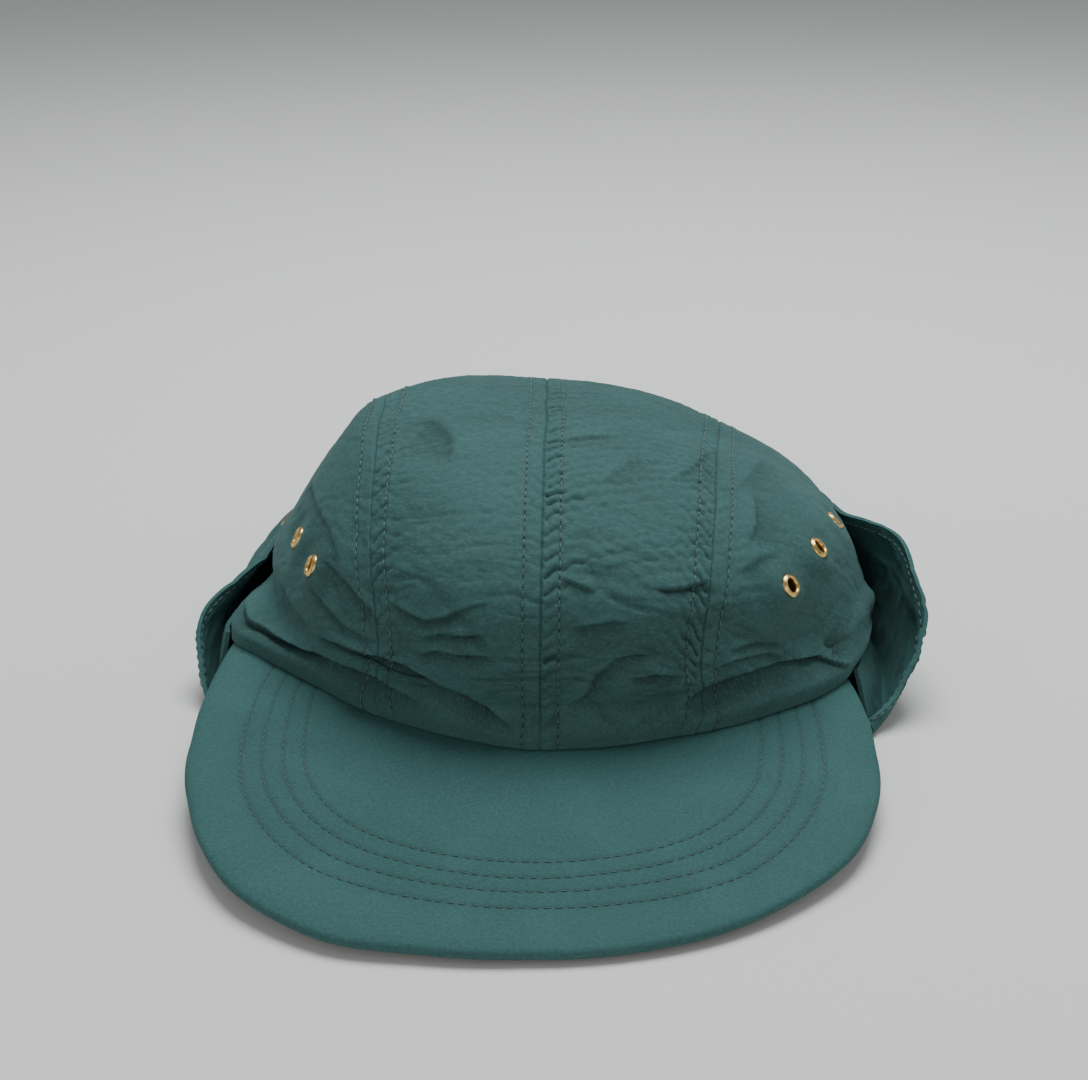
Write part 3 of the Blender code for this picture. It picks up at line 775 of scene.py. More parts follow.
def wrinkle_height(across, along):
    """Height in mm of the cloth's own wrinkles, mostly crosswise and strongest low at the front."""
    x, y = across * DISC_RADIUS / MM, along * DISC_RADIUS / MM
    bent_x = x + 6 * waves(x / 15, y / 15, 31)
    bent_y = y + 6 * waves(x / 13, y / 19, 32) + 0.12 * x
    low = np.maximum(ease(-along, 0.25, 0.85), 0.45 * ease(np.hypot(across, along), 0.5, 0.9))
    height = 1.0 * waves(x / 30, y / 24, 3) + (0.16 + 0.20 * low) * waves(x / 13, y / 8, 4)
    for one in WRINKLES:
        valleys = crease_lines(bent_x / one.across, bent_y / one.along, one.narrow, one.seed)
        height = height - (one.depth + one.low_depth * low) * valleys
    return height


def side_bag(turn, climb):
    """How far the crown's sides stand out of their plain shape near the hem, in metres."""
    low = ease(climb, 0.2, 3.0) * bell(np.maximum(climb - 3.0, 0), 5.5)
    high = ease(climb, 3.0, 9.0) * bell(np.maximum(climb - 11, 0), 6.0)
    return MM * (read(BAGS, "low", turn) * low + read(BAGS, "high", turn) * high)


def crown_surface(across, along):
    """Places of the creased crown, and the cloth's shade from 0 in its creases to 1 on its ridges."""
    base = crown_base(across, along)
    nearness = {side: path.near(base) for side, path in SEAM_PATHS.items()}
    away = np.min([near[0] for near in nearness.values()], axis=0)
    climb = climb_of(across, along)
    above_band = ease(climb, *RELIEF_START)
    height = PUFF * (1 - np.exp(-np.maximum(away - PUFF_START, 0) / PUFF_WIDTH))
    turn = turn_of(across, along)
    sunk = read(SINKS, "depth", turn) * ease(climb, *SINK_START) * (1 - ease(climb, *SINK_END))
    height -= fold_depth(across, along) + MM * sunk
    radius = np.maximum(np.hypot(across, along), 0.01)
    slide = 1 - sunk * (SINK_SLIDE + SINK_SLIDE_ASIDE * np.abs(across) / radius) / radius
    creases, shadow = crease_height(across * slide, along * slide)
    wrinkles = wrinkle_height(across, along)
    height = (height + MM * (creases + wrinkles)) * above_band + side_bag(turn, climb)
    allowance = ease(away, 0, ALLOWANCE_START) * (1 - ease(away, *ALLOWANCE_END))
    height += (0.3 + 0.7 * above_band) * ALLOWANCE_LIFT * allowance
    puckers = MM * (0.15 + 0.85 * above_band) * pucker_height(across, along, nearness)
    dents = SEAM_DEPTH * bell(away, SEAM_WIDTH) + STITCH_DENT * bell(away - STITCH_AWAY, STITCH_DENT_WIDTH)
    height += puckers - dents
    # Painted shade: darker in the creases, dents and seams and in each crease's painted shadow under its
    # lip, with a painted highlight on the ridges
    creases = np.clip(creases, -SHADE_LIMIT, SHADE_LIMIT)
    detail = MM * (wrinkles * above_band + creases * above_band) + puckers - dents
    shade = shade_of(detail) * (1 - SHADOW_STRENGTH * shadow * above_band)
    return base + crown_normal(across, along) * height[..., None], shade


def crown_places(across, along):
    """Outside of the finished crown, from places on the disc."""
    return crown_surface(across, along)[0]


def clustered(count, pull):
    """Shares from 0 to 1, closer together at both ends."""
    steps = np.linspace(0, 1, count + 1)
    return steps - pull * np.sin(2 * math.pi * steps) / (2 * math.pi)


def strip_places(left, right, columns, rows):
    """Disc places of a strip between two seams, from hem to hem, closer together at the front."""
    radii = band_radii()
    front = np.linspace(-1, 0.1, int(rows * 0.72))
    steps = np.concatenate([front, np.linspace(0.1, 1, int(rows * 0.28))[1:]])
    middle = np.arccos(-steps) / math.pi
    ways = np.concatenate([np.zeros(len(radii)), middle, np.ones(len(radii))])
    radius = np.concatenate([radii, np.full(len(middle), INNER_RADIUS), radii[::-1]])
    start = seam_across(left, ways)[:, None]
    end = seam_across(right, ways)[:, None]
    across = start + (end - start) * clustered(columns, 0.6)[None, :]
    return disc_point(across, ways[:, None], radius[:, None])


def side_places(side, outward, columns, rows):
    """Disc places of a side panel, filled in between its hem and the three runs of its seam."""
    radii = band_radii()

    def seam(way):
        return np.stack(disc_point(seam_across(side, way), way, INNER_RADIUS), axis=-1)

    def rim(share, radius):
        start = np.arccos(np.minimum(abs(seam_across(side, 0.0)) / radius, 1.0))
        end = np.arccos(np.minimum(abs(seam_across(side, 1.0)) / radius, 1.0))
        angle = -start + (start + end) * share
        places = [outward * radius * np.cos(angle), radius * np.sin(angle)]
        return np.stack(np.broadcast_arrays(*places), axis=-1)

    share = clustered(columns, 0.35)[None, :]
    up = clustered(rows, 0.45)[:, None]
    bottom = rim(share, INNER_RADIUS)
    top = seam(PANEL_TURNED + (1 - 2 * PANEL_TURNED) * share)
    front = seam(PANEL_TURNED * up)
    back = seam(1 - PANEL_TURNED * up)
    share, up = share[..., None], up[..., None]
    low = rim(np.zeros(1), INNER_RADIUS) * (1 - share) + rim(np.ones(1), INNER_RADIUS) * share
    high = seam(np.array([PANEL_TURNED])) * (1 - share) + seam(np.array([1 - PANEL_TURNED])) * share
    net = front * (1 - share) + back * share + bottom * (1 - up) + top * up
    net = net - low * (1 - up) - high * up
    band = rim(share[..., 0], radii[:, None])
    places = np.concatenate([band, net], axis=0)
    return places[..., 0], places[..., 1]


def grid_faces(rows, columns, flip=False):
    """Quads of a net of rows by columns of points."""
    corner = np.arange((rows - 1) * columns).reshape(rows - 1, columns)[:, :-1].reshape(-1)
    faces = np.stack([corner, corner + 1, corner + columns + 1, corner + columns], axis=1)
    return faces[:, ::-1] if flip else faces


def link_new(name, mesh):
    """A new object in the scene."""
    thing = bpy.data.objects.new(name, mesh)
    bpy.context.scene.collection.objects.link(thing)
    return thing


def cloth_mesh(name, points, flat, painted_shade, flip=False, keep=None):
    """A smooth net of cloth, with its flat places in metres as UVs and its painted shade as an attribute.
    """
    rows, columns = points.shape[:2]
    faces = grid_faces(rows, columns, flip)
    if keep is not None:
        faces = faces[keep(points.reshape(-1, 3)[faces].mean(axis=1))]
    mesh = bpy.data.meshes.new(name)
    mesh.from_pydata(points.reshape(-1, 3).tolist(), [], faces.tolist())
    layer = mesh.uv_layers.new(name="cloth")
    places = flat.reshape(-1, 2)[faces.reshape(-1)]
    layer.data.foreach_set("uv", places.astype(np.float32).reshape(-1))
    shade = mesh.attributes.new("painted_shade", "FLOAT", "POINT")
    shade.data.foreach_set("value", painted_shade.reshape(-1).astype(np.float32))
    mesh.polygons.foreach_set("use_smooth", np.ones(len(faces), bool))
    mesh.update()
    return link_new(name, mesh)


def thicken(thing, thickness):
    """Thickness on the inner side of a net of cloth, with crisp cut edges."""
    solidify = thing.modifiers.new("Thickness", "SOLIDIFY")
    solidify.thickness = thickness
    solidify.offset = -1
    crisp = thing.modifiers.new("Crisp edges", "EDGE_SPLIT")
    crisp.split_angle = math.radians(CRISP_ANGLE)
    return solidify


def dress(thing, material, slot, *nodes):
    """Give a piece its material and let it stand for its CAD nodes; the slot is not used."""
    thing.data.materials.append(material)
    if nodes:
        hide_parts(*nodes)
    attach(thing, "root")
    return thing


def shade_of(height):
    """Painted shade from a height, as an attribute: 0 for dark painted shade in the creases to 1 for a
    painted highlight on the ridges.
    """
    return 0.5 + 0.5 * np.tanh(height / SHADE_DEPTH)


def eyelet_matrix(eyelet):
    """Placement of an eyelet: +Z out of the cloth."""
    across, along = np.array(eyelet.across), np.array(eyelet.along)
    normal = Vector(crown_normal(across, along))
    place = Vector(crown_base(across, along)) + normal * EYELET_OUT
    normal = Matrix.Rotation(math.radians(EYELET_TURN) * np.sign(eyelet.across), 3, "Z") @ normal
    return Matrix.Translation(place) @ normal.to_track_quat("Z", "Y").to_matrix().to_4x4()


def eyelet_seats(points):
    """Draw the cloth round each eyelet to the eyelet's own plane."""
    points = points.copy()
    for eyelet in EYELETS:
        placed = eyelet_matrix(eyelet)
        centre, axis = np.array(placed.translation), np.array(placed.col[2][:3])
        off = points - centre
        away = np.linalg.norm(off, axis=-1)
        grip = 1 - ease(away, EYELET_FLAT, EYELET_FREE)
        rise = off @ axis
        points -= (grip * rise)[..., None] * axis
    return points


def outside_holes(centres):
    """True for faces that are not inside an eyelet's hole."""
    keep = np.ones(len(centres), bool)
    for eyelet in EYELETS:
        centre = np.array(eyelet_matrix(eyelet).translation)
        keep &= np.linalg.norm(centres - centre, axis=1) > EYELET_CUT
    return keep


def crown_panel(name, places, material, flip, keep=None):
    """A panel of the crown, cut and drawn flat round its eyelets where keep says what stays."""
    across, along = places
    points, shade = crown_surface(across, along)
    if keep is not None:
        points = eyelet_seats(points)
    flat = np.stack([across * DISC_RADIUS, along * DISC_RADIUS], axis=-1)
    thing = cloth_mesh(name, points, flat, shade, flip, keep)
    thicken(thing, CLOTH)
    return dress(thing, material, "crown_cloth", name.replace("cloth_", ""))


def tube_rings(path, normals, radius):
    """Rings of points round a path, square to it."""
    forward = unit(np.gradient(path, axis=0))
    side = unit(np.cross(forward, normals))
    up = np.cross(side, forward)
    angles = np.linspace(0, 2 * math.pi, THREAD_SIDES, endpoint=False)[None, :, None]
    ring = np.cos(angles) * side[:, None] + np.sin(angles) * up[:, None]
    return path[:, None] + ring * radius[:, None, None]


def add_tube(points, faces, rings):
    """Add rings of points, the faces between them and a face over each end."""
    count, sides = rings.shape[:2]
    first = len(points)
    points.extend(rings.reshape(-1, 3).tolist())
    for near in range(first, first + (count - 1) * sides, sides):
        for side in range(sides):
            after = (side + 1) % sides
            faces.append([near + side, near + after, near + sides + after, near + sides + side])
    faces.append([first + side for side in range(sides)][::-1])
    faces.append([first + (count - 1) * sides + side for side in range(sides)])


class Stitches:
    """Threads and the painted shade of their needle holes gathered from many rows into one mesh each."""

    def __init__(self, name, thread, hole):
        self.name = name
        self.materials = {"threads": thread, "needle_hole_shades": hole}
        self.threads = [], []
        self.hole_shades = [], []

    def add_row(self, path, normals, seed, lift=THREAD_LIFT):
        """Stitches along a path of closely spaced points."""
        run = run_along(path)
        count = int((run[-1] - STITCH_PITCH) / STITCH_PITCH)
        shares, rise, slim = np.array(STITCH).T
        rise, slim = rise * THREAD_RADIUS, slim * THREAD_RADIUS
        for number in range(count):
            jitter = float(lattice(float(number), 1.0, seed)) - 0.5
            start = STITCH_PITCH * (number + 0.5 + 0.10 * jitter)
            length = STITCH_LENGTH * (1 + STITCH_JITTER * jitter)
            at = start + length * shares
            spine = np.stack([np.interp(at, run, path[:, axis]) for axis in range(3)], axis=1)
            out = unit(np.stack([np.interp(at, run, normals[:, axis]) for axis in range(3)], axis=1))
            spine = spine + out * (rise + lift)[:, None]
            add_tube(*self.threads, tube_rings(spine, out, slim))
            for end in (0, -1):
                self.add_hole_shade(spine[end] - out[end] * rise[0], out[end], spine[-1] - spine[0])

    def add_hole_shade(self, centre, out, run):
        """Painted shade of a needle hole: a dark disc on the cloth, a little longer along the stitch than
        across it.
        """
        side = unit(np.cross(out, run))
        forward = np.cross(side, out)
        angles = np.linspace(0, 2 * math.pi, THREAD_SIDES, endpoint=False)[:, None]
        ring = np.cos(angles) * forward * HOLE_STRETCH + np.sin(angles) * side
        rim = centre + ring * HOLE_RADIUS + out * HOLE_LIFT
        add_tube(*self.hole_shades, np.stack([rim - out * HOLE_DEPTH, rim]))

    def build(self, slot):
        """Make the two meshes and dress them."""
        for suffix, (points, faces) in (("threads", self.threads), ("needle_hole_shades", self.hole_shades)):
            mesh = bpy.data.meshes.new(f"{self.name}_{suffix}")
            mesh.from_pydata(points, [], faces)
            mesh.polygons.foreach_set("use_smooth", np.ones(len(faces), bool))
            dress(link_new(mesh.name, mesh), self.materials[suffix], slot)


def crown_stitches(stitches):
    """A row of stitches on each side of each seam, from the front hem to the back."""
    for number, path in enumerate(SEAM_PATHS.values()):
        for toward in (-1, 1):
            across, along = offset_line(path, toward * STITCH_AWAY)
            normals = normal_of(crown_places, across, along, STITCH_NORMAL_STEP)
            stitches.add_row(crown_places(across, along), normals, seed=number * 2 + toward)


def offset_line(path, distance):
    """Disc places at a distance over the cloth to the right of a seam, or to the left below 0."""
    across, along = path.across[::3], path.along[::3]
    step = crown_base(across + NORMAL_STEP, along) - crown_base(across, along)
    stretch = np.linalg.norm(step, axis=-1) / NORMAL_STEP
    return across + distance / stretch, along


def bill_edge(turn):
    """Plan places of the bill's outline, by the turn from its tip, to the right."""
    fullness = np.where(turn < 0, read(BILL_EDGE, "left", -turn), read(BILL_EDGE, "right", turn))
    angle = np.radians(turn)
    x = CROWN_X + fullness * np.sin(angle) * BILL_WIDTH / 2
    y = SEAM_FOOT_Y - fullness * np.cos(angle) * BILL_REACH
    return x, y


def bill_row_share(x, y, column):
    """How far out a plan place lies, 1 being on the stitch row."""
    right, front = x - CROWN_X, SEAM_FOOT_Y - y
    turn = np.degrees(np.arctan2(right / (BILL_WIDTH / 2), front / BILL_STITCH_REACH))
    row = read(BILL_ROWS, column, np.abs(turn))
    return np.hypot(right / (BILL_WIDTH / 2), front / BILL_STITCH_REACH) / row


def bill_levels(inner, outer):
    """Shares from the hem to the edge for each column, gathered close round each stitch row."""
    columns = inner.shape[0]
    marks = []
    for column in ("inner", "third", "second", "outer"):

        def inside(share):
            place = inner + (outer - inner) * share[:, None]
            return bill_row_share(place[:, 0], place[:, 1], column) < 1

        marks.append(turning_point(np.zeros(columns), np.ones(columns), inside))
    length = np.linalg.norm(outer - inner, axis=1)
    near = np.array([-1.6, -1.0, -0.55, -0.25, 0, 0.25, 0.55, 1.0, 1.6]) * MM
    levels = [np.full(columns, share) for share in (0.0, 0.06)]
    for mark in marks:
        levels.extend(mark + offset / length for offset in near)
    beyond = (0.25, 0.4, 0.55, 0.7, 0.82, 0.92, 1.0)
    levels.extend(marks[-1] + (1 - marks[-1]) * share for share in beyond)
    return np.sort(np.clip(np.stack(levels), 0, 1), axis=0)


def bill_relief(x, y):
    """Height of the bill's cloth over its plain face, in metres."""
    height = np.zeros(np.shape(x))
    reach = np.hypot(x - CROWN_X, y - SEAM_FOOT_Y)
    for column in ("inner", "third", "second", "outer"):
        away = (bill_row_share(x, y, column) - 1) * reach
        height -= BILL_DENT * bell(away, BILL_DENT_WIDTH)
    height += BILL_PUFF * ease(away, BILL_PUFF_START, BILL_PUFF_END)
    height += sum(
        swell.height * MM * waves(x / swell.across, y / swell.along, swell.seed) for swell in BILL_SWELLS
    )
    return height


def bill_cloth(material):
    """The bill: its stitched upper face, round edge and plain underside."""
    columns, edge_steps = 420, 7
    share = np.linspace(0, 1, columns + 1)
    turn = -BILL_CORNER_LEFT + (BILL_CORNER_LEFT + BILL_CORNER_RIGHT) * share
    inner = np.stack(plan_point(turn, hem_reach(turn) - SEAM_ALLOWANCE), axis=1)
    outer = np.stack(bill_edge(-BILL_TURN_LEFT + (BILL_TURN_LEFT + BILL_TURN_RIGHT) * share), axis=1)
    outward = unit(np.stack([-np.gradient(outer[:, 1]), np.gradient(outer[:, 0])], axis=1)) * -1
    radius = BILL_THICKNESS / 2
    rim = outer - outward * radius
    levels = bill_levels(inner, rim)
    plan = inner[None] + (rim - inner)[None] * levels[..., None]
    height = bill_relief(plan[..., 0], plan[..., 1])
    from_rim = (1 - levels) * np.linalg.norm(rim - inner, axis=1)
    height = height * ease(from_rim, 0, BILL_EDGE_PLAIN)
    top = np.dstack([plan, bill_top(plan[..., 0], plan[..., 1]) + height])
    # Painted shade from the bill's dents and swells
    rows, flats, shades = [top], [plan], [shade_of(height * BILL_SHADE)]

    def add_row(place, under, flat):
        z = bill_top(place[:, 0], place[:, 1]) - under
        rows.append(np.dstack([place[None], z[None]]))
        flats.append(flat[None])
        shades.append(np.full((1, columns + 1), 0.5))

    for step in range(1, edge_steps + 1):
        angle = math.pi * step / (edge_steps + 1)
        place = rim + outward * radius * math.sin(angle)
        add_row(place, radius - radius * math.cos(angle), rim + outward * radius * angle)
    for level in (1.0, 0.9, 0.6, 0.3, 0.0):
        place = inner + (rim - inner) * level
        add_row(place, BILL_THICKNESS, place)
    points, flat, shade = (np.concatenate(parts) for parts in (rows, flats, shades))
    return dress(cloth_mesh("cloth_bill", points, flat, shade, flip=True), material, "bill_cloth", "bill")


def bill_stitches(stitches):
    """The bill's four stitch rows, as far as the crown leaves them clear."""
    for number, column in enumerate(("outer", "second", "third", "inner")):
        turn = np.linspace(-BILL_ROW_LEFT, BILL_ROW_RIGHT, 900)
        angle = np.radians(turn)
        share = read(BILL_ROWS, column, np.abs(turn))
        x = CROWN_X + share * np.sin(angle) * BILL_WIDTH / 2
        y = SEAM_FOOT_Y - share * np.cos(angle) * BILL_STITCH_REACH
        across, along = x - CROWN_X, y - CROWN_Y
        clear = np.hypot(across, along) > hem_reach(turn_of(across, along)) - 0.001
        x, y = x[clear], y[clear]
        path = np.stack([x, y, bill_top(x, y) + bill_relief(x, y)], axis=1)
        normal = np.tile(unit(np.array([-BILL_ROLL, -BILL_SLOPE, 1.0])), (len(x), 1))
        stitches.add_row(path, normal, seed=40 + number, lift=-THREAD_LIFT)


def flap_line(turn, shares):
    """Middle face of the flap at one turn: from the hem, out to the fold, up to the rim."""
    signed = turn if turn <= 180 else turn - 360
    half = FLAP_CLOTH / 2
    foot = float(hem_height(np.array(signed)))
    fold_out = float(read(FLAP, "fold_out", turn)) * FLAP_HEIGHT
    rim_height = float(read(FLAP, "rim_height", turn)) * FLAP_HEIGHT
    stand = float(read(FLAP, "stand", turn)) * FLAP_HEIGHT
    rim_out = float(crown_out(np.array(signed), rim_height)) + half + FLAP_CLEARANCE + stand
    steep = foot / math.hypot(foot, fold_out)
    line = table("share out height", [
        (0.0, GAP + half * steep, foot + half),
        (FOLD_SHARE, fold_out, half),
        (0.60, (max(fold_out, rim_out) + fold_out) / 2 + half, rim_height * 0.45),
        (1.0, rim_out, rim_height),
    ])
    from_end = min(turn - FLAP_START, FLAP_END - turn)
    lead = FLAP_LEAD * (1 - float(ease(from_end, 0, 20))) * (1 if signed < 0 else -1)
    out = read(line, "out", shares)
    height = read(line, "height", shares)
    signed_all = np.full(len(shares), float(signed))
    closest = crown_out(signed_all, height) + half + FLAP_CLEARANCE
    out = np.where(shares > FOLD_SHARE, np.maximum(out, closest), out)
    moved = signed + lead * np.minimum(shares / FOLD_SHARE, 1.0)
    x, y = plan_point(moved, float(hem_reach(np.array(float(signed)))) + out)
    return np.stack([x, y, height], axis=1)


def flap_net(columns=620, rows=46):
    """Middle face of the flap, smoothed along its loose part."""
    turns = FLAP_START + (FLAP_END - FLAP_START) * clustered(columns, 0.5)
    shares = np.concatenate([np.linspace(0, 0.72, rows - 18), np.linspace(0.735, 1.0, 18)])
    points = np.stack([flap_line(turn, shares) for turn in turns], axis=1)
    loose = ease(shares, 0.1, 0.5)[:, None, None]
    for _ in range(FLAP_SMOOTHING):
        level = (points[:, :-2] + 2 * points[:, 1:-1] + points[:, 2:]) / 4
        points[:, 1:-1] += loose * (level - points[:, 1:-1])
    return points


def net_normals(points):
    """Normals of the flap's net, out of the cap."""
    down = np.gradient(points, axis=0)
    along = np.gradient(points, axis=1)
    return unit(np.cross(along, down))


def flap_relief(points):
    """Height in metres that puckers and wrinkles give the flap, and mm from its rim and along it."""
    away = run_along(points[::-1])[::-1] / MM
    run = np.ones_like(away) * run_along(points[-1]) / MM
    wander = (run + 0.3 * away) / 4.3 + 1.2 * noise(run / 13, away / 9, 61)
    edge = ease(away, 0.3, 2.0) * bell(np.maximum(away - 3.4, 0), 2.6)
    beyond = ease(away, 2.5, 5.0) * bell(np.maximum(away - 4, 0), 9)
    # Puckers close to the stitched rim, then broader ones below them
    height = 0.7 * edge * (creased(wander, away / 12, 62) - 0.5)
    height += 0.5 * beyond * (creased(wander * 0.45, away / 16, 64) - 0.5)
    # Swells, soft folds, sharp lines, a fine ripple and the dent of the stitch row
    height += 1.4 * waves(run / 24, away / 16, 66) + 0.7 * (creased(run / 13, away / 8, 67) - 0.5)
    height -= 0.5 * crease_lines(run / 17 + 2 * waves(run / 20, away / 14, 70), away / 7, 0.16, 71)
    height += 0.14 * waves(run / 4, away / 3, 69)
    height -= 0.35 * bell(away - FLAP_STITCH_AWAY / MM, 0.6)
    return height * MM, away, run


def flap_cloth(material, stitches):
    """The ear and neck flap, one band with a turned and stitched rim."""
    points = flap_net()
    normals = net_normals(points)
    height, away, run = flap_relief(points)
    height = height * ease(points[..., 2], FLAP_CLOTH * 0.5, 0.006)
    shaped = points + normals * height[..., None]
    # Painted shade from the flap's relief, and its rim drawn paler
    paler_rim = 0.6 * bell(away, 1.0)
    flat = np.stack([run * MM, away * MM], axis=-1)
    thing = cloth_mesh("cloth_flap", shaped, flat, shade_of(height) + paler_rim)
    thicken(thing, FLAP_CLOTH * 0.8).offset = 0
    dress(thing, material, "flap_cloth", "flap")
    row = int(np.argmin(np.abs(away[:, away.shape[1] // 2] - FLAP_STITCH_AWAY / MM)))
    for side in (-1, 1):
        path = shaped[row] + normals[row] * side * FLAP_CLOTH * 0.4
        stitches.add_row(path, normals[row] * side, seed=80 + side)


def eyelet_piece(eyelet, material):
    """A brass eyelet: a barrel with a rolled rim, turned from its half section."""
    outer, bore = EYELET_WIDTH / 2, EYELET_HOLE / 2
    foot, barrel = -0.0026, bore + 0.0006
    top = EYELET_LIFT + EYELET_RIM * 1.15
    # Distance from the axis and height over the cloth, up the bore, over the rim and down the barrel
    profile = [
        (bore, foot),
        (bore, EYELET_LIFT),
        (bore + 0.0001, EYELET_LIFT + 0.0004),
        (bore + 0.0004, top - 0.0001),
        ((outer + bore) / 2, top),
        (outer - 0.0005, top - 0.0003),
        (outer - 0.0001, EYELET_LIFT + 0.0001),
        (outer, -0.0003),
        (outer - 0.0004, -0.0006),
        (barrel, -0.0006),
        (barrel, foot),
    ]
    mesh = bpy.data.meshes.new("brass_" + eyelet.name)
    count = len(profile)
    mesh.from_pydata([(r, 0, z) for r, z in profile], [(n, (n + 1) % count) for n in range(count)], [])
    thing = link_new(mesh.name, mesh)
    thing.matrix_world = eyelet_matrix(eyelet)
    screw = thing.modifiers.new("Turn", "SCREW")
    screw.steps = screw.render_steps = 40
    screw.use_merge_vertices = True
    screw.merge_threshold = 0.00002
    round_off = thing.modifiers.new("Round", "BEVEL")
    round_off.width = 0.00012
    round_off.segments = 2
    round_off.limit_method = "ANGLE"
    screw.use_smooth_shade = True
    return dress(thing, material, "brass", eyelet.name)


def new_material(name, roughness, metallic=0.0):
    """A new material and its shader."""
    made = bpy.data.materials.new(name)
    made.use_nodes = True
    shader = made.node_tree.nodes["Principled BSDF"]
    shader.inputs["Roughness"].default_value = roughness
    shader.inputs["Metallic"].default_value = metallic
    return made, shader


def add(material, kind, **values):
    """A new node with its settings and unlinked inputs."""
    node = material.node_tree.nodes.new(kind)
    for key, value in values.items():
        if hasattr(node, key):
            setattr(node, key, value)
        else:
            node.inputs[key.replace("_", " ")].default_value = value
    return node


def join(material, value, socket):
    """Give a socket another node's output, or a plain value."""
    if hasattr(value, "is_output"):
        material.node_tree.links.new(value, socket)
    else:
        socket.default_value = value


def mix_colours(material, factor, first, second):
    """Colour node between two colours, each a colour or another node's output."""
    node = add(material, "ShaderNodeMix", data_type="RGBA")
    for socket, value in ((0, factor), (6, first), (7, second)):
        join(material, value, node.inputs[socket])
    return node.outputs[2]


def math_node(material, operation, *values):
    """Output of a sum on values, each a number or another node's output."""
    node = add(material, "ShaderNodeMath", operation=operation)
    for socket, value in zip(node.inputs, values):
        join(material, value, socket)
    return node.outputs[0]


def weave(material, pitch):
    """Height of a plain weave whose threads lie pitch metres apart, from the cloth's flat places."""
    places = add(material, "ShaderNodeUVMap", uv_map="cloth")
    parts = add(material, "ShaderNodeSeparateXYZ")
    join(material, places.outputs[0], parts.inputs[0])
    scaled = [math_node(material, "MULTIPLY", parts.outputs[axis], math.pi / pitch) for axis in (0, 1)]
    across, along = (math_node(material, "SINE", value) for value in scaled)
    return math_node(material, "MULTIPLY", across, along), places.outputs[0]


def stretched_noise(material, places, across, along, detail):
    """Noise in the cloth's flat places, with features across by along metres in size."""
    stretch = add(material, "ShaderNodeMapping")
    stretch.inputs["Scale"].default_value = (1 / across, 1 / along, 1)
    stretch.inputs["Rotation"].default_value = (0, 0, 0.12)
    join(material, places, stretch.inputs["Vector"])
    texture = add(material, "ShaderNodeTexNoise", Scale=1.0, Detail=detail, Distortion=0.6)
    join(material, stretch.outputs[0], texture.inputs["Vector"])
    return texture.outputs["Fac"]


def bump_chain(material, layers, target):
    """Bumps one over another, each a height, its depth in metres and its strength."""
    below = None
    for height, depth, strength in layers:
        bump = add(material, "ShaderNodeBump", Strength=strength, Distance=depth)
        join(material, height, bump.inputs["Height"])
        if below is not None:
            join(material, below, bump.inputs["Normal"])
        below = bump.outputs["Normal"]
    join(material, below, target)


def graded(material, value, low, high):
    """0 where a value is under low, 1 over high."""
    grade = add(material, "ShaderNodeMapRange")
    join(material, value, grade.inputs["Value"])
    grade.inputs["From Min"].default_value = low
    grade.inputs["From Max"].default_value = high
    return grade.outputs[0]


# The cloths, with the pitch of their threads and the depth of their weave and crinkles in metres
CLOTHS = table("name colour pitch weave crinkle", [
    ("crown_cloth", (0.041, 0.100, 0.098), 0.00030, 0.00004, 0.00050),
    ("bill_cloth", (0.036, 0.096, 0.094), 0.00034, 0.00005, 0.00010),
    ("flap_cloth", (0.032, 0.086, 0.085), 0.00030, 0.00004, 0.00050),
])


def cloth_material(cloth):
    """Nylon cloth: a fine weave and small crinkles, with painted shade in its creases and a painted
    highlight on its ridges.
    """
    made, shader = new_material(cloth.name, 0.62)
    shader.inputs["Sheen Weight"].default_value = 0.05
    shader.inputs["Sheen Roughness"].default_value = 0.4
    shader.inputs["Sheen Tint"].default_value = (0.6, 0.9, 0.88, 1)
    shader.inputs["Specular IOR Level"].default_value = 0.14
    pattern, places = weave(made, cloth.pitch)
    patches = stretched_noise(made, places, 0.022, 0.017, 6.0)
    grain = stretched_noise(made, places, 0.0009, 0.0007, 2.0)
    crinkles = stretched_noise(made, places, 0.0052, 0.0030, 5.0)
    painted_shade = add(made, "ShaderNodeAttribute", attribute_name="painted_shade").outputs["Fac"]
    # Tones: deep is the painted shade of the creases and light the painted highlight of the ridges; dark,
    # light and pale also tint the weave, patches and speckles
    shares = (0.24, 0.75, 1.0, 1.28, 1.75)
    tones = ((*(share * value for value in cloth.colour), 1.0) for share in shares)
    deep, dark, plain, light, pale = tones
    # Painted shade in the creases and a painted highlight on the ridges, read from the mesh's shade
    # attribute
    painted_hollow_shade = mix_colours(made, graded(made, painted_shade, 0.0, 0.5), deep, plain)
    painted_shade_and_highlight = mix_colours(made, graded(made, painted_shade, 0.5, 1.0), painted_hollow_shade, light)
    threads = mix_colours(made, math_node(made, "ADD", pattern, 0.5), dark, light)
    woven = mix_colours(made, 0.10, painted_shade_and_highlight, threads)
    worn_patches = math_node(made, "MULTIPLY", graded(made, patches, 0.5, 0.72), 0.16)
    faded = mix_colours(made, worn_patches, woven, pale)
    # Bright speckles are painted glints off the weave's fibres and pale lint; dull speckles are darker
    # grain
    glints_and_lint = math_node(made, "MULTIPLY", graded(made, grain, 0.50, 0.66), 0.26)
    dull = math_node(made, "MULTIPLY", graded(made, grain, 0.46, 0.30), 0.55)
    speckled = mix_colours(made, dull, mix_colours(made, glints_and_lint, faded, pale), dark)
    join(made, speckled, shader.inputs["Base Color"])
    join(made, math_node(made, "MULTIPLY_ADD", grain, 0.16, 0.70), shader.inputs["Roughness"])
    layers = [(pattern, cloth.weave, 0.4), (grain, 0.00008, 0.6), (crinkles, cloth.crinkle, 0.5)]
    bump_chain(made, layers, shader.inputs["Normal"])
    return made


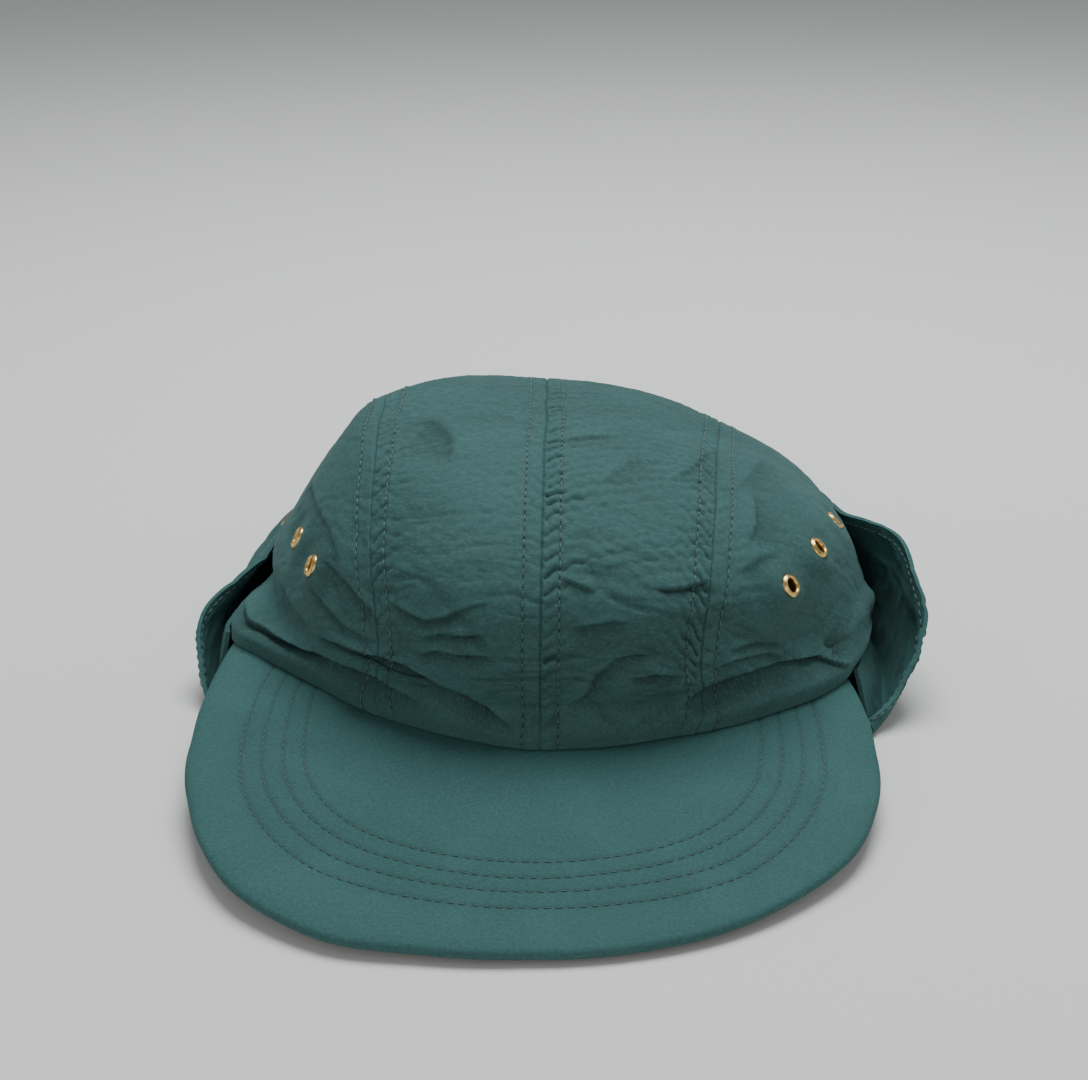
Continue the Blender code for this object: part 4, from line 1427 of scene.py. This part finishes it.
def thread_material(name, colour, roughness=0.5):
    """Twisted thread, or the painted shade of a needle hole."""
    made, shader = new_material(name, roughness)
    shader.inputs["Sheen Weight"].default_value = 0.2
    twist = add(made, "ShaderNodeTexNoise", Scale=1500.0, Detail=2.0)
    dark = tuple(0.7 * value for value in colour) + (1.0,)
    join(made, mix_colours(made, twist.outputs["Fac"], dark, (*colour, 1.0)), shader.inputs["Base Color"])
    return made


def brass_material():
    """Brass with dull brown patches and fine scratches."""
    made, shader = new_material("brass", 0.3, 1.0)
    tarnish = add(made, "ShaderNodeTexNoise", Scale=420.0, Detail=5.0)
    scratch = add(made, "ShaderNodeTexNoise", Scale=2400.0, Detail=2.0)
    colour = mix_colours(made, tarnish.outputs["Fac"], (0.78, 0.56, 0.22, 1), (0.45, 0.28, 0.09, 1))
    join(made, colour, shader.inputs["Base Color"])
    rough = math_node(made, "MULTIPLY_ADD", tarnish.outputs["Fac"], 0.3, 0.14)
    join(made, rough, shader.inputs["Roughness"])
    bump = add(made, "ShaderNodeBump", Strength=0.15, Distance=0.00004)
    join(made, scratch.outputs["Fac"], bump.inputs["Height"])
    join(made, bump.outputs["Normal"], shader.inputs["Normal"])
    return made


# Camera: its place in the cap's frame, its tilt down, turn and roll in degrees, and its lens
CAMERA_TILT = 24.0
CAMERA_TURN = -1.41
CAMERA_ROLL = 0.593
CAMERA_PLACE = (0.00621, -0.44809, 0.250)
PICTURE_WIDTH = 1088
FOCUS = 1676.7


def add_camera():
    tilt, turn, roll = (math.radians(value) for value in (CAMERA_TILT, CAMERA_TURN, CAMERA_ROLL))
    heading = Matrix.Rotation(-turn, 4, "Z") @ Matrix.Rotation(math.pi / 2 - tilt, 4, "X")
    data = bpy.data.cameras.new("camera")
    data.sensor_width = 36
    data.lens = FOCUS / PICTURE_WIDTH * data.sensor_width
    camera = link_new("camera", data)
    rolled = heading @ Matrix.Rotation(-roll, 4, "Z")
    camera.matrix_world = Matrix.Translation(CAMERA_PLACE) @ rolled
    bpy.context.scene.camera = camera


def add_floor():
    bpy.ops.mesh.primitive_plane_add(size=6, location=(0, 0, -0.0002))
    floor = bpy.context.active_object
    floor.name = "floor"
    made, shader = new_material("floor", 0.8)
    shader.inputs["Base Color"].default_value = (0.72, 0.71, 0.69, 1)
    floor.data.materials.append(made)


# The lights, which all face one place in the cap, and the even light from all round
LIGHTS = table("name place size power colour", [
    ("key", (0.08, 0.37, 1.16), 0.80, 18.0, (0.91, 0.98, 0.97)),
    ("front", (0.1, -1.3, 0.42), 1.0, 4.4, (1.0, 0.92, 0.88)),
    ("side", (1.1, 0.3, 0.6), 0.7, 0.8, (0.96, 0.98, 1.0)),
    ("fill", (-1.0, -0.5, 0.45), 0.9, 0.9, (0.90, 1.0, 1.0)),
])
LIT_PLACE = (0, 0, 0.03)
AROUND_COLOUR = (0.86, 0.88, 0.92, 1)
AROUND_STRENGTH = 0.34


def add_lights():
    for light in LIGHTS:
        data = bpy.data.lights.new(light.name, "AREA")
        data.shape = "DISK"
        data.size = light.size
        data.energy = light.power
        data.color = light.colour
        lamp = link_new(light.name, data)
        lamp.location = light.place
        aim = Vector(LIT_PLACE) - Vector(light.place)
        lamp.rotation_euler = aim.to_track_quat("-Z", "Y").to_euler()
    world = bpy.data.worlds.new("world")
    world.use_nodes = True
    around = world.node_tree.nodes["Background"].inputs
    around["Color"].default_value = AROUND_COLOUR
    around["Strength"].default_value = AROUND_STRENGTH
    bpy.context.scene.world = world


# Columns and rows of cloth in a strip and in a side panel
STRIP_NET = (72, 375)
SIDE_NET = (290, 128)


def main():
    crown, bill, flap = (cloth_material(cloth) for cloth in CLOTHS)
    pale_thread = thread_material("pale_thread", (0.042, 0.128, 0.123))
    # The bill's thread is drawn darker than the bill's cloth: painted shade of the grooves it lies sunk in
    shaded_bill_thread = thread_material("shaded_bill_thread", (0.024, 0.070, 0.070))
    needle_hole_shade = thread_material("needle_hole_shade", (0.009, 0.026, 0.026), 0.9)

    strips = strip_places("left", "centre", *STRIP_NET), strip_places("centre", "right", *STRIP_NET)
    sides = side_places("left", -1, *SIDE_NET), side_places("right", 1, *SIDE_NET)
    crown_panel("cloth_crown_centre_left", strips[0], crown, False)
    crown_panel("cloth_crown_centre_right", strips[1], crown, False)
    crown_panel("cloth_crown_side_left", sides[0], crown, True, outside_holes)
    crown_panel("cloth_crown_side_right", sides[1], crown, False, outside_holes)
    bill_cloth(bill)

    crown_seams = Stitches("crown_stitching", pale_thread, needle_hole_shade)
    crown_stitches(crown_seams)
    crown_seams.build("crown_cloth")
    bill_seams = Stitches("bill_stitching", shaded_bill_thread, needle_hole_shade)
    bill_stitches(bill_seams)
    bill_seams.build("bill_cloth")
    flap_seams = Stitches("flap_stitching", pale_thread, needle_hole_shade)
    flap_cloth(flap, flap_seams)
    flap_seams.build("flap_cloth")

    brass = brass_material()
    for eyelet in EYELETS:
        eyelet_piece(eyelet, brass)

    add_camera()
    add_floor()
    add_lights()


main()
